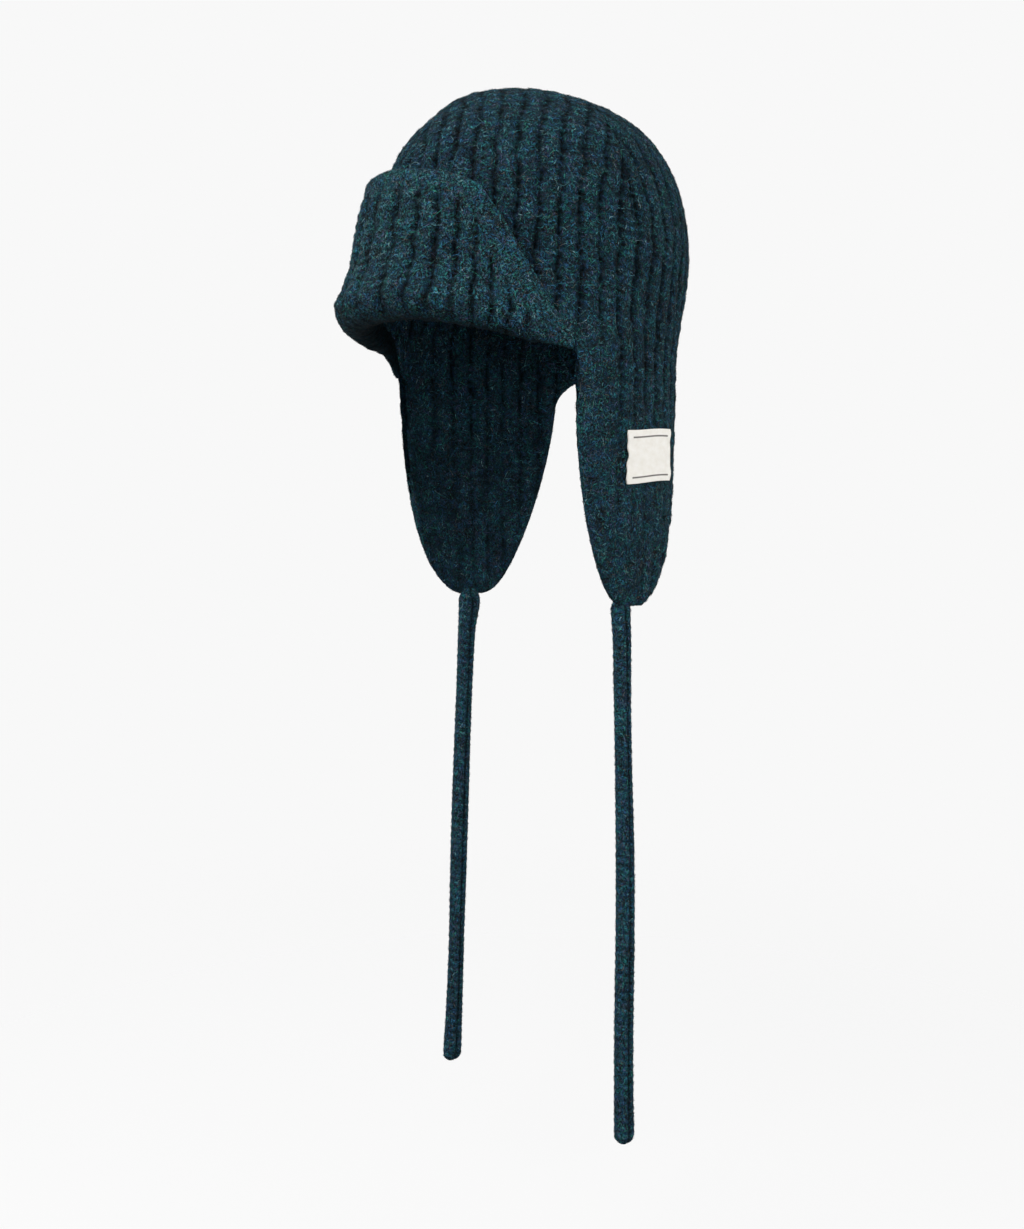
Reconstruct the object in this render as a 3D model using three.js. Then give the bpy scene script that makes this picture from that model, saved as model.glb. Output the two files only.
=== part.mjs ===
// A ribbed knitted hat with earflaps, a turned-up front brim and two long ties.
// Millimetres, +Z up. The face looks towards -Y and the wearer's left ear is at +X.
// The origin is the inside top of the crown, where the top of a head touches it.
import * as THREE from "three";
import { mergeVertices } from "three/addons/utils/BufferGeometryUtils.js";

// The knitted fabric.
const WALL = 5;
const RIB_COUNT = 48;
const RIB_PHASE = 0.4;
const RIB_RISE = 0.9;
const RIB_SAMPLES = [
  { place: -0.24, rise: 1 },
  { place: 0.24, rise: 1 },
  { place: 0.5, rise: -1 },
];
const GAP = 0.3;

// The crown, measured on the middle of its wall. Drops are below the top of that wall.
const HALF_WIDTH = 82.3;
const HALF_DEPTH = 99.8;
const DOME_HEIGHT = 96;
const DOME_SIDE_POWER = 0.8;
const DOME_TOP_POWER = 0.865;
const TOP_FORWARD = 9;
const TOP_FORWARD_DROP = 20;
const HEM_DROP = 167;
const HEM_REACH = { front: 1, nape: 0.885, frontAngle: 60, napeAngle: 172 };
const FRONT_LEAN = { out: 11, fullAngle: 68, noneAngle: 104, startDrop: 105 };
const DART_ANGLES = [0, 90, 180, 270];
const DOME_ROWS = [0.1, 0.22, 0.36, 0.5, 0.65, 0.82, 1];
const BODY_ROWS = [0.3, 0.65, 1];

// The earflaps, which grow out of the crown at each side.
const FLAP_LENGTH = 144;
const FLAP_TIP_REACH = 0.93;
const FLAP_TUCK_POWER = 8;
const FLAP_SHAPE = {
  left: { length: 140, frontNeck: 50, rearNeck: 52, frontPower: 2, rearPower: 1.8 },
  right: { length: 144, frontNeck: 51.3, rearNeck: 52, frontPower: 2.3, rearPower: 1.6 },
};
const FLAP_TIP_HALF = 6;
const FLAP_ROUND = 130;
const FLAP_NECK_Y = 11.5;
const FLAP_TIP_Y = 8;
const FLAP_FILLET = 16;
const FLAP_ROWS = [0.03, 0.1, 0.24, 0.42, 0.6, 0.74, 0.86, 0.95, 1];

// The brim, a second layer of the front that is folded up outside the crown.
const BRIM_END_ANGLE = 66;
const BRIM_LEVEL_ANGLE = 12;
const BRIM_EDGE = [
  { angle: 0, left: 57, right: 57 },
  { angle: 24, left: 63, right: 57 },
  { angle: 36, left: 71, right: 59 },
  { angle: 44, left: 90, right: 71 },
  { angle: 53, left: 119, right: 106 },
  { angle: 60, left: 141, right: 140 },
  { angle: 66, left: 154, right: 166 },
];
const FOLD_DROP = { front: 131.5, leftEnd: 158, rightEnd: 146 };
const FOLD_TAIL = { drop: 21, fromAngle: 50, power: 2.6 };
const FOLD_RADIUS = { front: 11.5, end: 3.7 };
const BRIM_HUG = { front: 11.5, end: 7.4 };
const BRIM_CURVE = 1.5;
const BRIM_LEG = 4;
const BRIM_LEAST_HEIGHT = 3;
const BRIM_ROWS = [0, 0.2, 0.42, 0.64, 0.84, 1, 1.25, 1.5, 1.75, 2, 3];

// The ties, knitted cords that hang from the earflap tips.
const TIE_WIDTH = 12.5;
const TIE_THICKNESS = 10;
const TIE_SIDES = 10;
const TIE_STEPS = 14;
const TIE_ROUTES = {
  left_tie: [
    [74.6, 2.5, -305.5],
    [74.6, 2.5, -316],
    [74.8, 2.4, -340],
    [75.2, 2.3, -365],
    [75.7, 2.4, -390],
    [76.2, 2.6, -415],
    [76.6, 2.8, -440],
    [76.8, 2.9, -465],
    [76.8, 2.8, -490],
    [76.7, 2.5, -515],
    [76.5, 2.2, -540],
    [76.4, 2, -565],
    [76.5, 2, -590],
    [76.6, 2.1, -604],
    [76.7, 2.2, -616],
  ],
  right_tie: [
    [-74.6, 2.5, -309.5],
    [-74.6, 2.5, -318],
    [-75.3, 1.9, -340],
    [-76.1, 1.2, -365],
    [-76.9, 0.6, -390],
    [-77.6, 0, -415],
    [-78.3, -0.5, -440],
    [-78.9, -1, -465],
    [-79.5, -1.4, -490],
    [-80.1, -1.8, -515],
    [-80.7, -2.2, -540],
    [-81.3, -2.7, -565],
    [-82.1, -3.3, -590],
    [-82.6, -3.7, -604],
    [-83.1, -4.1, -618],
  ],
};

// The woven label on the outside of the left earflap.
const LABEL_THICKNESS = 0.8;
const LABEL = { firstAngle: 86, lastAngle: 115.5, topDrop: 205.2, bottomDrop: 236, rearRise: 2.4 };
const LABEL_COLUMNS = 10;
const LABEL_ROWS = 3;

const COLOURS = { knit: 0x1e333c, label: 0xf0ebe1 };

const FULL_TURN = 360;
const radians = THREE.MathUtils.degToRad;
const lerp = THREE.MathUtils.lerp;
const clamp = THREE.MathUtils.clamp;
const smooth = (value) => THREE.MathUtils.smoothstep(value, 0, 1);

// Angles run from the front (0) through the wearer's left (90) to the nape (180).
function signedAngle(angle) {
  return ((angle + 540) % FULL_TURN) - 180;
}

// The level of a drop on the dome, as the angle of an arc from the top to the widest ring.
function domeTurn(drop) {
  return Math.acos(Math.pow(1 - drop / DOME_HEIGHT, 1 / DOME_TOP_POWER));
}

// How far out the wall stands, as a share of its widest size. It draws in at the nape.
function reachAt(angle, drop) {
  if (drop < DOME_HEIGHT) {
    return Math.pow(Math.sin(domeTurn(drop)), DOME_SIDE_POWER);
  }
  const side = Math.abs(signedAngle(angle));
  const round = smooth((side - HEM_REACH.frontAngle) / (HEM_REACH.napeAngle - HEM_REACH.frontAngle));
  const hem = lerp(HEM_REACH.front, HEM_REACH.nape, round);
  const below = clamp((drop - HEM_DROP) / FLAP_LENGTH, 0, 1);
  const tuck = lerp(1, FLAP_TIP_REACH, Math.pow(below, FLAP_TUCK_POWER));
  return tuck * lerp(1, hem, smooth((drop - DOME_HEIGHT) / (HEM_DROP - DOME_HEIGHT)));
}

// How far the front and the earflaps' front edges lean out from the crown's line.
function frontLean(angle, drop) {
  const { out, fullAngle, noneAngle, startDrop } = FRONT_LEAN;
  const side = Math.abs(signedAngle(angle));
  const round = smooth((noneAngle - side) / (noneAngle - fullAngle));
  const down = smooth((drop - startDrop) / (HEM_DROP - startDrop));
  const below = clamp((drop - HEM_DROP) / FLAP_LENGTH, 0, 1);
  return out * round * down * (1 - below);
}

// A point at an angle and a drop, moved straight out by a distance.
function wallPoint(angle, drop, extra) {
  const turn = radians(angle);
  const reach = reachAt(angle, drop);
  const out = extra + frontLean(angle, drop);
  const forward = TOP_FORWARD * (1 - smooth(drop / TOP_FORWARD_DROP));
  const across = new THREE.Vector2(Math.sin(turn) * HALF_DEPTH, -Math.cos(turn) * HALF_WIDTH);
  across.normalize().multiplyScalar(out);
  return new THREE.Vector3(
    HALF_WIDTH * reach * Math.sin(turn) + across.x,
    -HALF_DEPTH * reach * Math.cos(turn) - forward + across.y,
    WALL / 2 - drop,
  );
}

// The fold's right end runs on down into the earflap's front edge.
function foldTail(side) {
  const share = clamp((side - FOLD_TAIL.fromAngle) / (BRIM_END_ANGLE - FOLD_TAIL.fromAngle), 0, 1);
  return FOLD_TAIL.drop * Math.pow(share, FOLD_TAIL.power);
}

// The size of the brim's parts at an angle, from its middle to its ends.
function brimSizes(angle) {
  const side = Math.abs(signedAngle(angle));
  const share = smooth((side - BRIM_LEVEL_ANGLE) / (BRIM_END_ANGLE - BRIM_LEVEL_ANGLE));
  const last = BRIM_EDGE.length - 1;
  const next = clamp(BRIM_EDGE.findIndex((row) => row.angle > side), 1, last);
  const place = side >= BRIM_EDGE[last].angle ? last : next;
  const before = BRIM_EDGE[place - 1];
  const after = BRIM_EDGE[place];
  const between = clamp((side - before.angle) / (after.angle - before.angle), 0, 1);
  const hand = signedAngle(angle) > 0 ? "left" : "right";
  const foldEnd = FOLD_DROP[`${hand}End`];
  const fold = lerp(FOLD_DROP.front, foldEnd, share) + (hand === "right" ? foldTail(side) : 0);
  return {
    edge: Math.min(lerp(before[hand], after[hand], between), fold - BRIM_LEAST_HEIGHT),
    fold,
    radius: lerp(FOLD_RADIUS.front, FOLD_RADIUS.end, share),
    hug: lerp(BRIM_HUG.front, BRIM_HUG.end, share),
  };
}

// Where the crown ends at an angle: higher over the face, where the fold hangs below it.
function hemDrop(angle) {
  const side = Math.abs(signedAngle(angle));
  if (side >= BRIM_END_ANGLE) {
    return HEM_DROP;
  }
  return brimSizes(angle).fold - BRIM_LEG - GAP;
}

// How far an earflap's edge is from its middle line at a share of its length, with a rounded end.
function flapHalf(share, length, neck, power) {
  const below = share * length;
  const rounding = clamp((below - (length - FLAP_ROUND)) / FLAP_ROUND, 0, 1);
  const rounded = Math.sqrt(1 - Math.pow(rounding, power));
  return lerp(FLAP_TIP_HALF, neck, rounded);
}

// The angle at which the wall is a distance behind the ears' line, at a drop.
function angleAt(y, drop) {
  let angle = 90;
  for (let pass = 0; pass < 6; pass += 1) {
    const depth = HALF_DEPTH * reachAt(angle, drop);
    angle = THREE.MathUtils.radToDeg(Math.acos(clamp(-y / depth, -1, 1)));
  }
  return angle;
}

// The angles of an earflap's front and rear edges. The rear one curves into the hem.
function flapAngles(share, shape) {
  const { length, frontNeck, rearNeck, frontPower, rearPower } = shape;
  const middle = lerp(FLAP_NECK_Y, FLAP_TIP_Y, share);
  const ahead = flapHalf(share, length, frontNeck, frontPower);
  const behind = flapHalf(share, length, rearNeck, rearPower);
  const drop = HEM_DROP + share * length;
  const inFillet = clamp(1 - (share * length) / FLAP_FILLET, 0, 1);
  const fillet = FLAP_FILLET * (1 - Math.sqrt(1 - inFillet * inFillet));
  return {
    front: Math.max(angleAt(middle - ahead, drop), BRIM_END_ANGLE),
    rear: angleAt(middle + behind + fillet, drop),
  };
}

// The knitted columns all round: two on each rib's crest and one in each valley.
function ribColumns() {
  const pitch = FULL_TURN / RIB_COUNT;
  const columns = [];
  for (let rib = 0; rib < RIB_COUNT; rib += 1) {
    for (const sample of RIB_SAMPLES) {
      const turn = (rib + 0.5 + RIB_PHASE + sample.place) * pitch;
      columns.push({ angle: turn % FULL_TURN, rise: sample.rise });
    }
  }
  return columns;
}

// Ribs on the dome run side by side to a dart, and the columns that reach it end there.
function domeAngle(column, reach) {
  const quarter = Math.floor(column.angle / 90);
  const middle = quarter * 90 + 45;
  const offset = Math.sin(radians(column.angle - middle)) / Math.max(reach, 1e-6);
  const limit = Math.sin(radians(45));
  if (Math.abs(offset) >= limit) {
    const dart = DART_ANGLES[(quarter + (offset > 0 ? 1 : 0)) % DART_ANGLES.length];
    return { angle: dart, rise: -1, key: `dart${dart}` };
  }
  const angle = middle + THREE.MathUtils.radToDeg(Math.asin(offset));
  return { angle, rise: column.rise, key: `column${column.angle.toFixed(3)}` };
}

// A fabric: named knots on its middle surface, and the triangles between them.
class Fabric {
  constructor(surface) {
    this.surface = surface;
    this.knots = new Map();
    this.faces = [];
  }

  knot(key, u, v, lift) {
    if (!this.knots.has(key)) {
      this.knots.set(key, { index: this.knots.size, u, v, lift });
    }
    return this.knots.get(key).index;
  }

  triangle(a, b, c) {
    if (a !== b && b !== c && c !== a) {
      this.faces.push([a, b, c]);
    }
  }

  quad(a, b, c, d) {
    this.triangle(a, b, c);
    this.triangle(a, c, d);
  }

  // The cells between two rows of knots.
  strip(upper, lower) {
    for (let place = 0; place + 1 < upper.length; place += 1) {
      this.quad(upper[place], lower[place], lower[place + 1], upper[place + 1]);
    }
  }

  // The two sides of a knot, half a wall to each side of the middle surface.
  sides(knot, wall) {
    const { u, v, lift } = knot;
    const step = 0.02;
    const middle = this.surface(u, v);
    const along = this.surface(u + step, v).sub(this.surface(u - step, v));
    const down = this.surface(u, v + step).sub(this.surface(u, Math.max(v - step, 0)));
    const normal = new THREE.Vector3().crossVectors(down, along);
    if (along.length() < 1e-7) {
      normal.set(0, 0, 1);
    }
    normal.normalize();
    return [lift + wall / 2, lift - wall / 2].map((distance) =>
      middle.clone().addScaledVector(normal, distance),
    );
  }

  // Both sides of the fabric, closed by a strip along every free edge.
  geometry(wall) {
    const positions = [];
    const knots = [...this.knots.values()];
    const pairs = knots.map((knot) => this.sides(knot, wall));
    for (const side of [0, 1]) {
      for (const pair of pairs) {
        positions.push(pair[side].x, pair[side].y, pair[side].z);
      }
    }
    const inner = knots.length;
    const edges = new Set();
    const triangles = [];
    for (const [a, b, c] of this.faces) {
      triangles.push(a, b, c, inner + c, inner + b, inner + a);
      for (const [from, to] of [[a, b], [b, c], [c, a]]) {
        edges.add(`${from} ${to}`);
      }
    }
    for (const edge of edges) {
      const [from, to] = edge.split(" ").map(Number);
      if (!edges.has(`${to} ${from}`)) {
        triangles.push(to, from, inner + from, to, inner + from, inner + to);
      }
    }
    const shape = new THREE.BufferGeometry();
    shape.setAttribute("position", new THREE.Float32BufferAttribute(positions, 3));
    shape.setIndex(triangles);
    return shape;
  }
}

// The crown with its earflaps: rows from the top down, then on down each earflap.
function crownGeometry() {
  const columns = ribColumns();
  const fabric = new Fabric((angle, drop) => wallPoint(angle, drop, 0));
  const pole = fabric.knot("pole", 0, 0, 0);
  let above = columns.map(() => pole);

  const addRow = (below) => {
    fabric.strip([...above, above[0]], [...below, below[0]]);
    above = below;
  };

  DOME_ROWS.forEach((share, row) => {
    const drop = DOME_HEIGHT * (1 - Math.pow(Math.cos(radians(90 * share)), DOME_TOP_POWER));
    const reach = Math.pow(Math.sin(radians(90 * share)), DOME_SIDE_POWER);
    addRow(columns.map((column) => {
      const place = share < 1 ? domeAngle(column, reach) : { ...column, key: `column${column.angle}` };
      return fabric.knot(`dome${row} ${place.key}`, place.angle, drop, place.rise * RIB_RISE);
    }));
  });

  BODY_ROWS.forEach((share, row) => {
    addRow(columns.map((column) => {
      const drop = lerp(DOME_HEIGHT, hemDrop(column.angle), share);
      return fabric.knot(`body${row} ${column.angle}`, column.angle, drop, column.rise * RIB_RISE);
    }));
  });

  const hem = above;
  for (const side of [1, -1]) {
    const shape = side > 0 ? FLAP_SHAPE.left : FLAP_SHAPE.right;
    const root = flapAngles(0, shape);
    const own = columns
      .map((column, place) => ({ ...column, place, side: side * signedAngle(column.angle) }))
      .filter((column) => column.side > root.front && column.side < root.rear)
      .sort((a, b) => side * (a.side - b.side));
    let upper = own.map((column) => hem[column.place]);
    FLAP_ROWS.forEach((share, row) => {
      const edges = flapAngles(share, shape);
      const drop = HEM_DROP + share * shape.length;
      const lower = own.map((column) => {
        const angle = clamp(column.side, edges.front, edges.rear);
        const rise = angle === column.side ? column.rise : 0;
        const turned = (side * angle + FULL_TURN) % FULL_TURN;
        return fabric.knot(`flap${side} ${row} ${angle.toFixed(4)}`, turned, drop, rise * RIB_RISE);
      });
      fabric.strip(upper, lower);
      upper = lower;
    });
  }
  return fabric.geometry(WALL);
}

// The brim's middle surface: down its outer layer, round the fold and up the short leg.
function brimPoint(angle, place) {
  const sizes = brimSizes(angle);
  if (place <= 1) {
    const drop = lerp(sizes.edge, sizes.fold, place);
    return wallPoint(angle, drop, lerp(sizes.hug, 2 * sizes.radius, Math.pow(place, BRIM_CURVE)));
  }
  if (place <= 2) {
    const turn = Math.PI * (place - 1);
    const out = sizes.radius * (1 + Math.cos(turn));
    return wallPoint(angle, sizes.fold, out).add(new THREE.Vector3(0, 0, -sizes.radius * Math.sin(turn)));
  }
  const drop = sizes.fold - BRIM_LEG * (place - 2);
  return wallPoint(angle, drop, 0);
}

function brimGeometry() {
  const fabric = new Fabric(brimPoint);
  const columns = ribColumns()
    .map((column) => ({ side: signedAngle(column.angle), rise: column.rise }))
    .filter((column) => Math.abs(column.side) < BRIM_END_ANGLE)
    .sort((a, b) => a.side - b.side);
  const rows = BRIM_ROWS.map((place, row) =>
    columns.map(({ side, rise }) => fabric.knot(`${row} ${side}`, side, place, rise * RIB_RISE)),
  );
  for (let row = 0; row + 1 < rows.length; row += 1) {
    fabric.strip(rows[row], rows[row + 1]);
  }
  return fabric.geometry(WALL);
}

function tieGeometry(route) {
  const section = new THREE.Shape();
  section.absellipse(0, 0, TIE_WIDTH / 2, TIE_THICKNESS / 2, 0, 2 * Math.PI);
  const path = new THREE.CatmullRomCurve3(route.map((point) => new THREE.Vector3(...point)));
  return new THREE.ExtrudeGeometry(section, {
    steps: TIE_STEPS,
    curveSegments: TIE_SIDES / 2,
    extrudePath: path,
  });
}

// The label lies on the crests of the ribs of the left earflap.
function labelGeometry() {
  const out = WALL / 2 + RIB_RISE + GAP + LABEL_THICKNESS / 2;
  const fabric = new Fabric((angle, drop) => wallPoint(angle, drop, 0));
  const rows = [];
  for (let row = 0; row <= LABEL_ROWS; row += 1) {
    const frontDrop = lerp(LABEL.topDrop, LABEL.bottomDrop, row / LABEL_ROWS);
    const knots = [];
    for (let column = 0; column <= LABEL_COLUMNS; column += 1) {
      const angle = lerp(LABEL.firstAngle, LABEL.lastAngle, column / LABEL_COLUMNS);
      const drop = frontDrop - (LABEL.rearRise * column) / LABEL_COLUMNS;
      knots.push(fabric.knot(`${row} ${column}`, angle, drop, out));
    }
    rows.push(knots);
  }
  for (let row = 0; row < LABEL_ROWS; row += 1) {
    fabric.strip(rows[row], rows[row + 1]);
  }
  return fabric.geometry(LABEL_THICKNESS);
}

function named(name, geometry, material) {
  geometry.deleteAttribute("normal");
  geometry.deleteAttribute("uv");
  const merged = mergeVertices(geometry, 1e-4);
  merged.computeVertexNormals();
  const mesh = new THREE.Mesh(merged, material);
  mesh.name = name;
  return mesh;
}

const knit = new THREE.MeshStandardMaterial({ color: COLOURS.knit, roughness: 0.95, metalness: 0 });
const woven = new THREE.MeshStandardMaterial({ color: COLOURS.label, roughness: 0.85, metalness: 0 });

const hat = new THREE.Group();
hat.add(named("crown_with_earflaps", crownGeometry(), knit));
hat.add(named("front_brim", brimGeometry(), knit));
for (const [name, route] of Object.entries(TIE_ROUTES)) {
  hat.add(named(name, tieGeometry(route), knit));
}
hat.add(named("label", labelGeometry(), woven));

export default hat;
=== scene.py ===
# An earflap beanie in chunky brushed wool rib, held up in its worn form.
# Metres, +Z up. The face looks towards -Y and the wearer's left ear is at +X.
import math

import bpy
import numpy as np
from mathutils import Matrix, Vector
from mathutils.bvhtree import BVHTree
from mathutils.kdtree import KDTree


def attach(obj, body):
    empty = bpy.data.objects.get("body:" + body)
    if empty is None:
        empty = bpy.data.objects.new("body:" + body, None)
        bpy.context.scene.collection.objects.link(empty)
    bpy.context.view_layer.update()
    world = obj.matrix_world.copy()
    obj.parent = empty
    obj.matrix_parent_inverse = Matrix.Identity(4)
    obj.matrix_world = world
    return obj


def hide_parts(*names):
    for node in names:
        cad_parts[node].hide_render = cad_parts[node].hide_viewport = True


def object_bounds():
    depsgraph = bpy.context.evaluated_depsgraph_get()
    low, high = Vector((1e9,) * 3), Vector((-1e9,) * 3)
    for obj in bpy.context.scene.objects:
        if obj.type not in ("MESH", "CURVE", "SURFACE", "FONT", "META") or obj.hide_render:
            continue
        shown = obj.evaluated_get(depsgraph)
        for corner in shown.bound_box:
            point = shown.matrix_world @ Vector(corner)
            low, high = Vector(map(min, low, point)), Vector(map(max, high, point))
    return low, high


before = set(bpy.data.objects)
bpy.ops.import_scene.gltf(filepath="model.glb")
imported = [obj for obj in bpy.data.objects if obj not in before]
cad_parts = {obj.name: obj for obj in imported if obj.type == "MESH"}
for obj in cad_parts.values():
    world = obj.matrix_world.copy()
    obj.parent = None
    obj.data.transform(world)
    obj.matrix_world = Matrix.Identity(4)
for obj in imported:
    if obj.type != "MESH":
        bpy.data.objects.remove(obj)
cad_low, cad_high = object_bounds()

# The view is the photo's own: level with the hat, 50 degrees round from the face towards the
# wearer's left, from 0.82 m. The hat's axis and the horizon lie off the picture's middle, and the
# sensor's size is that of the picture's longer, upright side.
VIEW_TURN = math.radians(50)
VIEW_DISTANCE = 0.82
VIEW_HEIGHT = -0.242
SENSOR_SIZE = 36
PICTURE_WIDTH = 1024
PICTURE_HEIGHT = 1229
FOCAL_PIXELS = 1315
AXIS_PIXEL = 536.3
HORIZON_PIXEL = 498.5

eye = (
    VIEW_DISTANCE * math.sin(VIEW_TURN),
    -VIEW_DISTANCE * math.cos(VIEW_TURN),
    VIEW_HEIGHT,
)
bpy.ops.object.camera_add(location=eye, rotation=(math.radians(90), 0, VIEW_TURN))
camera = bpy.context.object
camera.name = "photo_camera"
camera.data.sensor_width = SENSOR_SIZE
camera.data.lens = SENSOR_SIZE * FOCAL_PIXELS / PICTURE_HEIGHT
camera.data.shift_x = (PICTURE_WIDTH / 2 - AXIS_PIXEL) / PICTURE_HEIGHT
camera.data.shift_y = (HORIZON_PIXEL - PICTURE_HEIGHT / 2) / PICTURE_HEIGHT
bpy.context.scene.camera = camera

# The ties are flat knitted wool cords with a groove down the middle of each face. Each one grows
# out of an earflap's tip, hangs straight down and ends in a small rounded turn of stitches.
TIE_THICKNESS = 0.010
TIE_STEP = 0.0011
TIE_SIDES = 40
TIE_BOX_POWER = 2.6
TIE_STITCH = 0.0048
TIE_STITCH_RISE = 0.00024
TIE_STITCH_SLANT = 0.5
TIE_SIDES_APART = 0.25
TIE_SEAM_WIDTH = 0.18
TIE_GROOVE = 0.0008
TIE_GROOVE_WIDTH = 0.16
TIE_KNIT_ROOM = 0.0004
# Painted shade on the ties: how dark their colour is made between stitches and in the groove.
TIE_PAINTED_SHADE = {"ground": 0.55, "stitch": 0.45, "groove": 0.42}
TIE_ROOT_ABOVE = 0.0080
TIE_ROOT_BELOW = 0.002
TIE_ROOT_THIN = 0.35
TIE_ROOT_ROUND = 0.0098
TIE_ROOT_FLARE = {"left_tie": 0.06, "right_tie": 0.27}
TIE_ROOT_SHIFT = {"left_tie": -0.0011, "right_tie": 0.0016}
TIE_ROOT_LENGTH = 0.022
TIE_END_ROUND = 0.006
TIE_END_POWER = 2.4
TIE_WIDTH_PLACES = [0, 0.07, 0.19, 0.30, 0.41, 0.52, 0.62, 0.74, 0.88, 0.97, 1]
TIE_WIDTHS = {
    "left_tie": [0.0116, 0.0108, 0.0094, 0.0094, 0.0107, 0.0113, 0.0115, 0.0115, 0.0116, 0.0124, 0.0124],
    "right_tie": [0.0126, 0.0118, 0.0106, 0.0108, 0.0114, 0.0114, 0.0108, 0.0098, 0.0108, 0.0126, 0.0126],
}
TIE_ROUTES = {
    "left_tie": [
        (0.0746, 0.0025, -0.3055),
        (0.0746, 0.0025, -0.316),
        (0.0748, 0.0024, -0.340),
        (0.0752, 0.0023, -0.365),
        (0.0757, 0.0024, -0.390),
        (0.0762, 0.0026, -0.415),
        (0.0766, 0.0028, -0.440),
        (0.0768, 0.0029, -0.465),
        (0.0768, 0.0028, -0.490),
        (0.0767, 0.0025, -0.515),
        (0.0765, 0.0022, -0.540),
        (0.0764, 0.0020, -0.565),
        (0.0765, 0.0020, -0.590),
        (0.0766, 0.0021, -0.604),
        (0.0767, 0.0022, -0.616),
    ],
    "right_tie": [
        (-0.0746, 0.0025, -0.3095),
        (-0.0746, 0.0025, -0.318),
        (-0.0753, 0.0019, -0.340),
        (-0.0761, 0.0012, -0.365),
        (-0.0769, 0.0006, -0.390),
        (-0.0776, 0.0000, -0.415),
        (-0.0783, -0.0005, -0.440),
        (-0.0789, -0.0010, -0.465),
        (-0.0795, -0.0014, -0.490),
        (-0.0801, -0.0018, -0.515),
        (-0.0807, -0.0022, -0.540),
        (-0.0813, -0.0027, -0.565),
        (-0.0821, -0.0033, -0.590),
        (-0.0826, -0.0037, -0.604),
        (-0.0831, -0.0041, -0.618),
    ],
}


def smooth(share):
    """A share that is kept from 0 to 1, and that starts and ends gently."""
    share = np.clip(share, 0, 1)
    return share * share * (3 - 2 * share)


def lerp(low, high, share):
    """The value at a share of the way from low to high."""
    return low + (high - low) * share


def add_node(tree, kind, place, **settings):
    """A shader node at a place in the tree. A setting is a property, or else an input's value."""
    made = tree.nodes.new(kind)
    made.location = place
    for name, value in settings.items():
        if hasattr(made, name):
            setattr(made, name, value)
        else:
            made.inputs[name.replace("_", " ")].default_value = value
    return made


def set_ramp(ramp, stops, interpolation="LINEAR"):
    """A colour ramp's stops, each a position and a colour."""
    ramp.color_ramp.interpolation = interpolation
    elements = ramp.color_ramp.elements
    while len(elements) < len(stops):
        elements.new(0.5)
    for element, (position, colour) in zip(elements, stops):
        element.position = position
        element.color = (*colour, 1)


# The heather of the yarn: charcoal, teal, blue, violet and green wool, carded together.
HEATHER = [
    (0.00, (0.0030, 0.0040, 0.0050)),
    (0.22, (0.0050, 0.0110, 0.0140)),
    (0.42, (0.0040, 0.0190, 0.0270)),
    (0.56, (0.0060, 0.0180, 0.0400)),
    (0.70, (0.0130, 0.0150, 0.0230)),
    (0.84, (0.0040, 0.0330, 0.0330)),
    (0.95, (0.0090, 0.0380, 0.0520)),
    (1.00, (0.0250, 0.0700, 0.0900)),
]
FLECK_SHARE = 0.72
FLECK_RELIEF = 0.6
FIBRE_SHADES = {"From_Min": 0.34, "From_Max": 0.68, "To_Min": 0.16, "To_Max": 2.3}
# Painted shade: how the knit's crest attribute darkens the wool's colour, from the valleys up to the
# crests.
CREST_PAINTED_SHADES = {"From_Min": 0.05, "From_Max": 0.9, "To_Min": 0.14, "To_Max": 1.12}


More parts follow.
